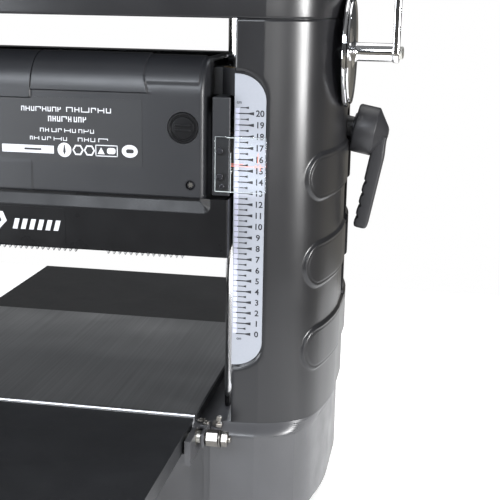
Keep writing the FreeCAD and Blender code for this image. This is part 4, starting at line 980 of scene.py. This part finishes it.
# (height, trim at the sides, near face, far face)
PAWL_FORM = ((PAWL_Z + 2.5, 0.0, -3.6, 3.6), (PAWL_Z - 4, 0.0, -4.6, 4.3), (272.0, 0.0, -4.2, 3.2),
             (264.4, 0.05, -3.8, 2.2), (262.2, 1.0, -3.6, 0.6), (PAWL_TIP, 1.9, -3.5, -2.3))
PAWL_ROWS = ((84.0, 14), (-37.0, 18), (-158.0, 14))
PAWL_GAP = PAWL_PITCH - PAWL_WIDTH
PAWL_HUB = ((0.3, 3.6), (0, 4.2), (0, 4.8), (0.4, 5.2), (PAWL_WIDTH - 0.4, 5.2), (PAWL_WIDTH, 4.8),
            (PAWL_WIDTH, 4.2), (PAWL_WIDTH - 0.3, 3.6))
PAWL_SPACER = ((0, 3.6), (0, 4.4), (PAWL_GAP, 4.4), (PAWL_GAP, 3.6))
RIGHT = (1, 0, 0)
fingers = Shape()
for start, count in PAWL_ROWS:
    for k in range(count):
        x0, x1 = start + PAWL_PITCH * k, start + PAWL_PITCH * k + PAWL_WIDTH
        fingers.rings([[(x, PAWL_Y + y, z) for x, y in rect(x0 + trim, x1 - trim, near, far)]
                       for z, trim, near, far in PAWL_FORM])
        fingers.lathe(PAWL_HUB, (x0, PAWL_Y, PAWL_Z), RIGHT, 20, loop=True)
        if k < count - 1:
            fingers.lathe(PAWL_SPACER, (x1, PAWL_Y, PAWL_Z), RIGHT, 16, loop=True)
piece("pawl_fingers", fingers, slot_of["kickback_pawls"], "kickback_pawls", ["kickback_pawls"], sharp=30)

# ---------- lock lever ----------
LEVER_TILT = math.radians(11.0)
LEVER_AT = Vector((SIDE_X, 16.0, 364.9))
LEVER_OUT = Vector((math.cos(LEVER_TILT), 0, -math.sin(LEVER_TILT)))
LEVER_DOWN = Vector((-math.sin(LEVER_TILT), 0, -math.cos(LEVER_TILT)))
LEVER_END, LEVER_GROOVES = 97.0, (50.0, 62.0, 74.0, 86.0)
HUB = ((7.2, 0), (7.2, 22.2), (7.9, 23.4), (9.4, 24), (27.2, 24), (28.1, 23.6), (28.6, 22.9), (32.5, 17.4),
       (36.5, 11.9), (39.4, 8.0), (40.6, 5.4), (41.0, 2.4), (41.0, 0))
COLLAR = ((5.2, 0), (5.2, 13.4), (5.7, 14), (6.8, 14), (7.3, 13.4), (7.3, 0))


def lever_ring(t):
    """The arm's rounded section, square to it, at t down the arm."""
    inner = 26.8 + 1.4 * smooth((t - 10) / 14)
    for groove in LEVER_GROOVES:
        inner += 2.2 * math.exp(-((t - groove) / 2.0) ** 2)
    tip = max(0.0, (t - (LEVER_END - 6)) / 6)
    round_off = 1 - math.sqrt(max(0.0, 1 - tip * tip))
    outer = 40.6 + 1.8 * smooth((t - 6) / 20) - 3.2 * round_off
    half = 11 - 3.5 * round_off
    return [LEVER_AT + LEVER_OUT * s + Vector((0, u, 0)) + LEVER_DOWN * t
            for s, u in round_rect(inner + 2.4 * round_off, outer, -half, half, 2.6, 5)]


hub = Shape().lathe(HUB, LEVER_AT, LEVER_OUT, 96)
hub.rings([lever_ring(t) for t in steps_between((2.0, 84.0, 1.0), (84.0, LEVER_END, 0.6))])
piece("lever_body", hub, "lever_plastic", "lock_lever", ["lock_lever"], sharp=30)
lock_screw = [(-27, 0), (-27, 4.2), (-26.2, 5)] + [(-25 + 0.5 * k, 5.0 if k % 2 else 4.3) for k in range(58)]
lock_parts = Shape().lathe(COLLAR, LEVER_AT, LEVER_OUT, 48)
lock_parts.lathe(lock_screw + [(8, 5), (8, 0)], LEVER_AT, LEVER_OUT, 28)
piece("lock_screw", lock_parts, "black_oxide", "lock_lever", sharp=30, slot="lever_plastic")

# ---------- crank ----------
CRANK_Y, CRANK_Z, CRANK_R = (disc_lo.y + disc_hi.y) / 2, 440.0, 48.0
CRANK_AT = (disc_lo.x, CRANK_Y, CRANK_Z)
ARM_X, ARM_TOP = 328.0, 550.0
# (out from the tower, radius beyond the disc's)
FLANGE = ((0, 1.8), (0.5, 2.6), (1.4, 3), (3.2, 3), (3.9, 2.4), (4.1, 1.4), (4.1, -2))
DISC_RIM = ((4.5, -1.2), (4.8, -0.3), (5.5, 0), (6.3, -0.2), (6.8, -0.9), (6.7, -2.4), (6.0, -3.2))
DISC_HUB = [(7.3, 12.6), (8.4, 10.0), (9.8, 8.9), (11.4, 8.5), (42.4, 8.5), (42.9, 8.0), (42.9, 7)]
CRANK_NUT = ((5.9, 0), (5.9, 6.2), (6.8, 6.6), (8.6, 6.6), (9.6, 5.4), (10.0, 3.0), (10.1, 0))
GRIP_PIN = ((5.9, 0), (5.9, 4.0), (70.0, 4.0), (70.2, 5.6), (70.8, 6.0), (72.4, 5.7), (73.0, 4.4), (73.0, 0))
flange = [(0, 7)] + [(out, CRANK_R + more) for out, more in FLANGE] + [(4.1, 7)]
turned("crank_flange", flange, [CRANK_AT], RIGHT, 160, "chrome", "crank", loop=True, sharp=30)
dome = [(6.0 + 1.2 * math.cos(math.pi / 2 * r / 44.0), r) for r in range(44, 12, -4)]
face = [(4.5, 7)] + [(out, CRANK_R + more) for out, more in DISC_RIM] + dome + DISC_HUB
turned("crank_face", face, [CRANK_AT], RIGHT, 160, "chrome", "crank", loop=True, stands_for=["crank_disc"],
       sharp=30)
outline = []
for r, middle_z, start in ((9.4, CRANK_Z, 180), (9.0, ARM_TOP, 0)):
    for a in [math.radians(start + 9 * k) for k in range(21)]:
        outline.append((CRANK_Y + r * math.cos(a), middle_z + r * math.sin(a)))
arm = Shape().prism(outline, "x", ARM_X, ARM_X + 6)
piece("crank_bar", arm, "chrome", "crank", ["crank_arm"], rounding=1.4, segments=4, sharp=30)
studs = Shape().lathe(CRANK_NUT, (ARM_X, CRANK_Y, CRANK_Z), RIGHT, 6)
studs.lathe(GRIP_PIN, (ARM_X, CRANK_Y, ARM_TOP), RIGHT, 32)
piece("crank_studs", studs, "zinc", "crank", sharp=30)


def grip_point(a):
    """A point of the grip's outline, a from 0 at the arm to 1 at its end, with finger grooves."""
    r = 9.0 + 4.5 * math.sin(math.pi / 2 * min(1, a / 0.35)) - 2.0 * smooth((a - 0.35) / 0.65)
    r -= 0.7 * sum(math.exp(-((a - g) / 0.012) ** 2) for g in (0.2, 0.32, 0.44, 0.56, 0.68, 0.8))
    return 0.6 + a * 58.8, r - 1.2 * (1 - smooth(min(a, 1 - a) / 0.03))


grip = [(0.6, 4.2)] + [grip_point(k / 60) for k in range(61)] + [(59.4, 4.2)]
turned("crank_grip_shell", grip, [(ARM_X + 8, CRANK_Y, ARM_TOP)], RIGHT, 56, "lever_plastic", "crank_grip",
       loop=True, stands_for=["crank_grip"], sharp=40)

# ---------- lead screw threads ----------
THREAD_LOW, THREAD_HIGH, THREAD_R, THREAD_DEEP, THREAD_LEAD, THREAD_TURN = 112.0, 404.0, 8.02, 0.9, 2.0, 18


def thread(x):
    rings = []
    count = round((THREAD_HIGH - THREAD_LOW) / THREAD_LEAD * 4)
    for z in [THREAD_LOW + (THREAD_HIGH - THREAD_LOW) * k / count for k in range(count + 1)]:
        ring = []
        for j in range(THREAD_TURN):
            turn = (z / THREAD_LEAD - j / THREAD_TURN) % 1.0
            r = THREAD_R - THREAD_DEEP * max(0.0, 1 - abs(turn - 0.5) * 3.2)
            a = 2 * math.pi * j / THREAD_TURN
            ring.append((x + r * math.cos(a), CRANK_Y + r * math.sin(a), z))
        rings.append(ring)
    return Shape().rings(rings)


for x, body, node in ((240.0, "screw_right", "lead_screw_right"), (-240.0, "screw_left", "lead_screw_left")):
    piece("thread_" + body, thread(x), slot_of[node], body, sharp=70, sort=False)

# ---------- table hinges at the four corners ----------
PIN_HEAD = ((172.6, 0), (172.6, 7.4), (173.0, 8.2), (174.0, 8.2), (174.4, 7.4), (174.4, 3.4), (204.4, 3.4),
            (205.2, 2.6), (205.2, 0))
INNER_NUT = ((182.6, 3), (182.6, 7.0), (183.4, 7.8), (193.8, 7.8), (194.6, 7.0), (194.6, 3))
WASHER = ((195.0, 3), (195.0, 8.2), (196.2, 8.2), (196.2, 3))
OUTER_NUT = ((196.6, 3), (196.6, 6.4), (197.2, 7.2), (201.8, 7.2), (202.6, 6.4), (202.6, 3))
HINGE_SCREW = ((0, 0), (0, 3.3), (0.5, 3.6), (2.1, 3.6), (2.6, 3.0), (2.6, 1.7), (1.2, 1.7), (1.2, 0))
STOP_SCREW = ((0, 0), (0, 4.6), (0.6, 5.2), (3.2, 5.2), (3.8, 4.6), (3.8, 2.6), (9.2, 2.6), (9.8, 2.0),
              (9.8, 0))
HINGE_PLATES = (((168.2, 141.8, 82.5), (172.6, 185.0, 104.4)), ((167.0, 138.2, 101.2), (181.0, 152.0, 105.0)),
                ((178.4, 143.0, 91.0), (181.6, 171.0, 104.6)))
hinge_plates, hinge_bolts = Shape(), Shape()
for fx in (1, -1):
    for fy in (-1, 1):
        for lo, hi in HINGE_PLATES:
            hinge_plates.block((fx * lo[0], fy * lo[1], lo[2]), (fx * hi[0], fy * hi[1], hi[2]))
        for x, y, sides in ((173.0, 143.4, 6), (178.4, 147.6, 24)):
            hinge_bolts.lathe(HINGE_SCREW, (fx * x, fy * y, 105.0), (0, 0, 1), sides)
        for form, sides, loop in ((PIN_HEAD, 28, False), (INNER_NUT, 6, True), (WASHER, 28, True),
                                  (OUTER_NUT, 6, True)):
            hinge_bolts.lathe(form, (0, fy * 164.0, 99.0), (fx, 0, 0), sides, loop=loop)
        hinge_bolts.lathe(STOP_SCREW, (fx * 187.6, fy * 141.5, 101.6), (0.25 * fx, 0, 1), 6)
piece("hinge_plates", hinge_plates, "base_paint", "frame", rounding=0.7)
# the hinge bolts take the darkened zinc: painted shade of the hinge corners
piece("hinge_bolts", hinge_bolts, "dull_zinc", "frame", rounding=0.25, segments=2, sharp=30)

# ---------- switch box: raised bezels, marks and screws ----------
SWITCH_X, START_Z, STOP_Z = (switch_lo.x + switch_hi.x) / 2, 388.0, 346.0
BEZEL = ((-1.5, 0), (0.9, 0), (1.5, 0.5), (1.7, 1.3), (1.3, 2.4), (0.1, 3.2), (-1.5, 3.2))
BOX_SCREW = ((-2, 0), (-2, 2.8), (0.5, 2.8), (1.2, 2.2), (1.5, 1.2), (1.1, 1.0), (0.4, 0.9), (0.4, 0))
BOX_SCREW_IN = 6.5
bezel = Shape()
for z, r in ((START_Z, 13.2), (STOP_Z, 15.2)):
    bezel.lathe([(a, r + more) for a, more in BEZEL], (SWITCH_X, switch_lo.y, z), FORWARD, 56, loop=True)
piece("switch_bezels", bezel, "black_oxide", "frame", sharp=50, slot="cover_plastic")
corners = rect(switch_lo.x + BOX_SCREW_IN, switch_hi.x - BOX_SCREW_IN, switch_lo.z + BOX_SCREW_IN,
               switch_hi.z - BOX_SCREW_IN)
turned("switch_screws", BOX_SCREW, [(x, switch_lo.y, z) for x, z in corners], FORWARD, 24, "zinc", "frame")
mark = Shape().sheet(rect(SWITCH_X - 1.1, SWITCH_X + 1.1, START_Z - 5.5, START_Z + 5.5), start_y + 0.2, 0.32)
piece("start_mark", mark, "ink_white", "start_button")
turned("stop_mark", [(-0.2, 4.2), (0.12, 4.2), (0.12, 6.2), (-0.2, 6.2)], [(SWITCH_X, stop_y, STOP_Z)],
       FORWARD, 48, "ink_white", "stop_button", loop=True)

# ---------- dust hood: bead on the port, ribs and screws ----------
PORT_AT, PORT_R, HOOD_BACK = (96.0, hood_end_y, 368.0), 50.0, 150.0
BEAD = ((-6.0, -0.2), (-5.2, 1.0), (-3.4, 1.7), (-1.6, 1.0), (-0.6, -0.2))
HOOD_RIB = ((HOOD_BACK - 1, 300), (HOOD_BACK + 3.0, 306), (HOOD_BACK + 3.0, 404), (HOOD_BACK - 1, 412))
HOOD_SCREW = ((-2, 0), (-2, 4.4), (0.6, 4.4), (1.6, 3.6), (2.0, 2.0), (1.0, 1.8), (1.0, 0))
BACKWARD = (0, 1, 0)
bead = [(a, PORT_R + more) for a, more in BEAD]
turned("hood_port_bead", bead, [PORT_AT], BACKWARD, 96, "cover_plastic", "head", loop=True, sharp=50)
hood_ribs = Shape()
for x in (-128.0, -92.0, -56.0, -20.0, 16.0):
    hood_ribs.prism(HOOD_RIB, "x", x - 1.4, x + 1.4)
piece("hood_ribs", hood_ribs, "cover_plastic", "head", rounding=0.6)
places = [(x, HOOD_BACK - 0.2, z) for x in (-148.0, 148.0, 0.0) for z in (294.0, 418.0)]
turned("hood_screws", HOOD_SCREW, places, BACKWARD, 24, "zinc", "head")

# ---------- softened edges of the parts shown as they are ----------
for width, nodes in ((0.3, "belt_cover"), (0.4, "cable_gland"),
                     (0.5, "top_frame guide_columns start_button stop_button screw_bearing_blocks"),
                     (0.6, "bed_plate switch_box return_roller_front return_roller_rear"),
                     (0.7, "infeed_table outfeed_table"),
                     (0.8, "dust_hood base_cover base_casting head_casting rubber_feet"),
                     (1.2, "gearbox_cover")):
    for node in nodes.split():
        soften(node, width)


# ---------- stage, light and camera, in metres ----------
FLOOR_HALF, FLOOR_GREY, FLOOR_GLOW = 0.72, 0.86, 0.42
# the wall that only reflections see: (height from 0 below to 1 above, colour)
WALL_STOPS = ((0.30, (0.20, 0.19, 0.17)), (0.41, (0.32, 0.30, 0.26)), (0.47, (0.10, 0.097, 0.088)),
              *((spot, (grey * 0.96, grey * 0.98, grey))
                for spot, grey in ((0.50, 0.06), (0.60, 0.05), (0.70, 0.10), (0.85, 0.22))))
CAMERA_AT, YAW, PITCH, ROLL = (0.37405, -1.01801, 0.49085), 10.227, 13.878, -0.951
SENSOR_MM, LENS_MM = 36.0, 74.78


def area_light(name, at, toward, size, power, color=(1, 1, 1)):
    data = bpy.data.lights.new(name, "AREA")
    data.shape = "RECTANGLE"
    data.size, data.size_y = size
    data.energy = power
    data.color = color
    light = bpy.data.objects.new(name, data)
    bpy.context.collection.objects.link(light)
    light.location = Vector(at)
    light.rotation_euler = (Vector(toward) - Vector(at)).to_track_quat("-Z", "Y").to_euler()


def floor():
    mesh = bpy.data.meshes.new("floor")
    corners = rect(-FLOOR_HALF, FLOOR_HALF, -FLOOR_HALF, FLOOR_HALF)
    mesh.from_pydata([(x, y, 0) for x, y in corners], [], [(0, 1, 2, 3)])
    obj = bpy.data.objects.new("floor", mesh)
    bpy.context.collection.objects.link(obj)
    paper = Shader("floor_white", (FLOOR_GREY,) * 3, 0.7, Emission_Color=(1, 1, 1, 1),
                   Emission_Strength=FLOOR_GLOW)
    mesh.materials.append(paper.material)


def world():
    """White for the camera, and a dark wall with a lighter band for reflections."""
    bpy.context.scene.world = bpy.data.worlds.new("studio")
    tree = bpy.context.scene.world
    tree.use_nodes = True
    nodes, links = tree.node_tree.nodes, tree.node_tree.links
    room = nodes["Background"]
    height = nodes.new("ShaderNodeSeparateXYZ")
    links.new(nodes.new("ShaderNodeTexCoord").outputs["Generated"], height.inputs["Vector"])
    wall = nodes.new("ShaderNodeValToRGB")
    stops = wall.color_ramp.elements
    while len(stops) > 1:
        stops.remove(stops[-1])
    for k, (spot, color) in enumerate(WALL_STOPS):
        stop = stops.new(spot) if k else stops[0]
        stop.position, stop.color = spot, (*color, 1)
    half = nodes.new("ShaderNodeMapRange")
    half.inputs["From Min"].default_value = -1.0
    links.new(height.outputs["Z"], half.inputs["Value"])
    links.new(half.outputs["Result"], wall.inputs["Fac"])
    links.new(wall.outputs["Color"], room.inputs["Color"])
    paper = nodes.new("ShaderNodeBackground")
    paper.inputs["Color"].default_value = (1, 1, 1, 1)
    path = nodes.new("ShaderNodeLightPath")
    mix = nodes.new("ShaderNodeMixShader")
    links.new(path.outputs["Is Camera Ray"], mix.inputs[0])
    links.new(room.outputs[0], mix.inputs[1])
    links.new(paper.outputs[0], mix.inputs[2])
    links.new(mix.outputs[0], nodes["World Output"].inputs["Surface"])


def camera():
    """Low three-quarter view from the right of centre, looking a little left and down."""
    yaw, pitch, roll = math.radians(YAW), math.radians(PITCH), math.radians(ROLL)
    forward = Vector((-math.sin(yaw) * math.cos(pitch), math.cos(yaw) * math.cos(pitch), -math.sin(pitch)))
    right = Vector((math.cos(yaw), math.sin(yaw), 0))
    down = forward.cross(right)
    right, down = (math.cos(roll) * right + math.sin(roll) * down,
                   -math.sin(roll) * right + math.cos(roll) * down)
    data = bpy.data.cameras.new("camera")
    data.sensor_width, data.lens = SENSOR_MM, LENS_MM
    data.clip_start, data.clip_end = 0.05, 30
    obj = bpy.data.objects.new("camera", data)
    bpy.context.collection.objects.link(obj)
    axes = Matrix((right, -down, -forward)).transposed()
    obj.matrix_world = Matrix.Translation(CAMERA_AT) @ axes.to_4x4()
    bpy.context.scene.camera = obj


floor()
world()
COOL, WARM = (0.88, 0.93, 1.0), (1.0, 0.93, 0.82)
LIGHTS = (("overhead", (0.0, 1.0, 2.3), (0, 1.0, 0), (2.6, 2.0), 30),
          ("right_strip", (1.35, -0.62, 0.47), (0.27, -0.1, 0.4), (0.27, 0.42), 26),
          ("rear_left_panel", (-1.3, 2.9, 1.0), (-0.1, 0, 0.2), (2.2, 1.9), 0.5, COOL),
          ("rear_right_panel", (1.3, 2.2, 0.2), (0.3, 0, 0.2), (1.4, 0.4), 0.3, WARM),
          ("front_top", (-0.3, -2.0, 1.5), (0, -0.1, 0.3), (1.7, 0.6), 56, COOL),
          ("front_left", (-1.45, -1.9, 0.28), (-0.1, -0.15, 0.38), (0.9, 0.6), 24, COOL),
          ("left_strip", (-1.3, -0.9, 0.25), (0.18, -0.13, 0.3), (0.9, 0.6), 16),
          ("front_right", (1.1, -2.0, 0.4), (0.2, -0.1, 0.35), (0.6, 0.5), 6.5))
for light in LIGHTS:
    area_light(*light)
camera()
bpy.context.scene.view_settings.view_transform = "Standard"
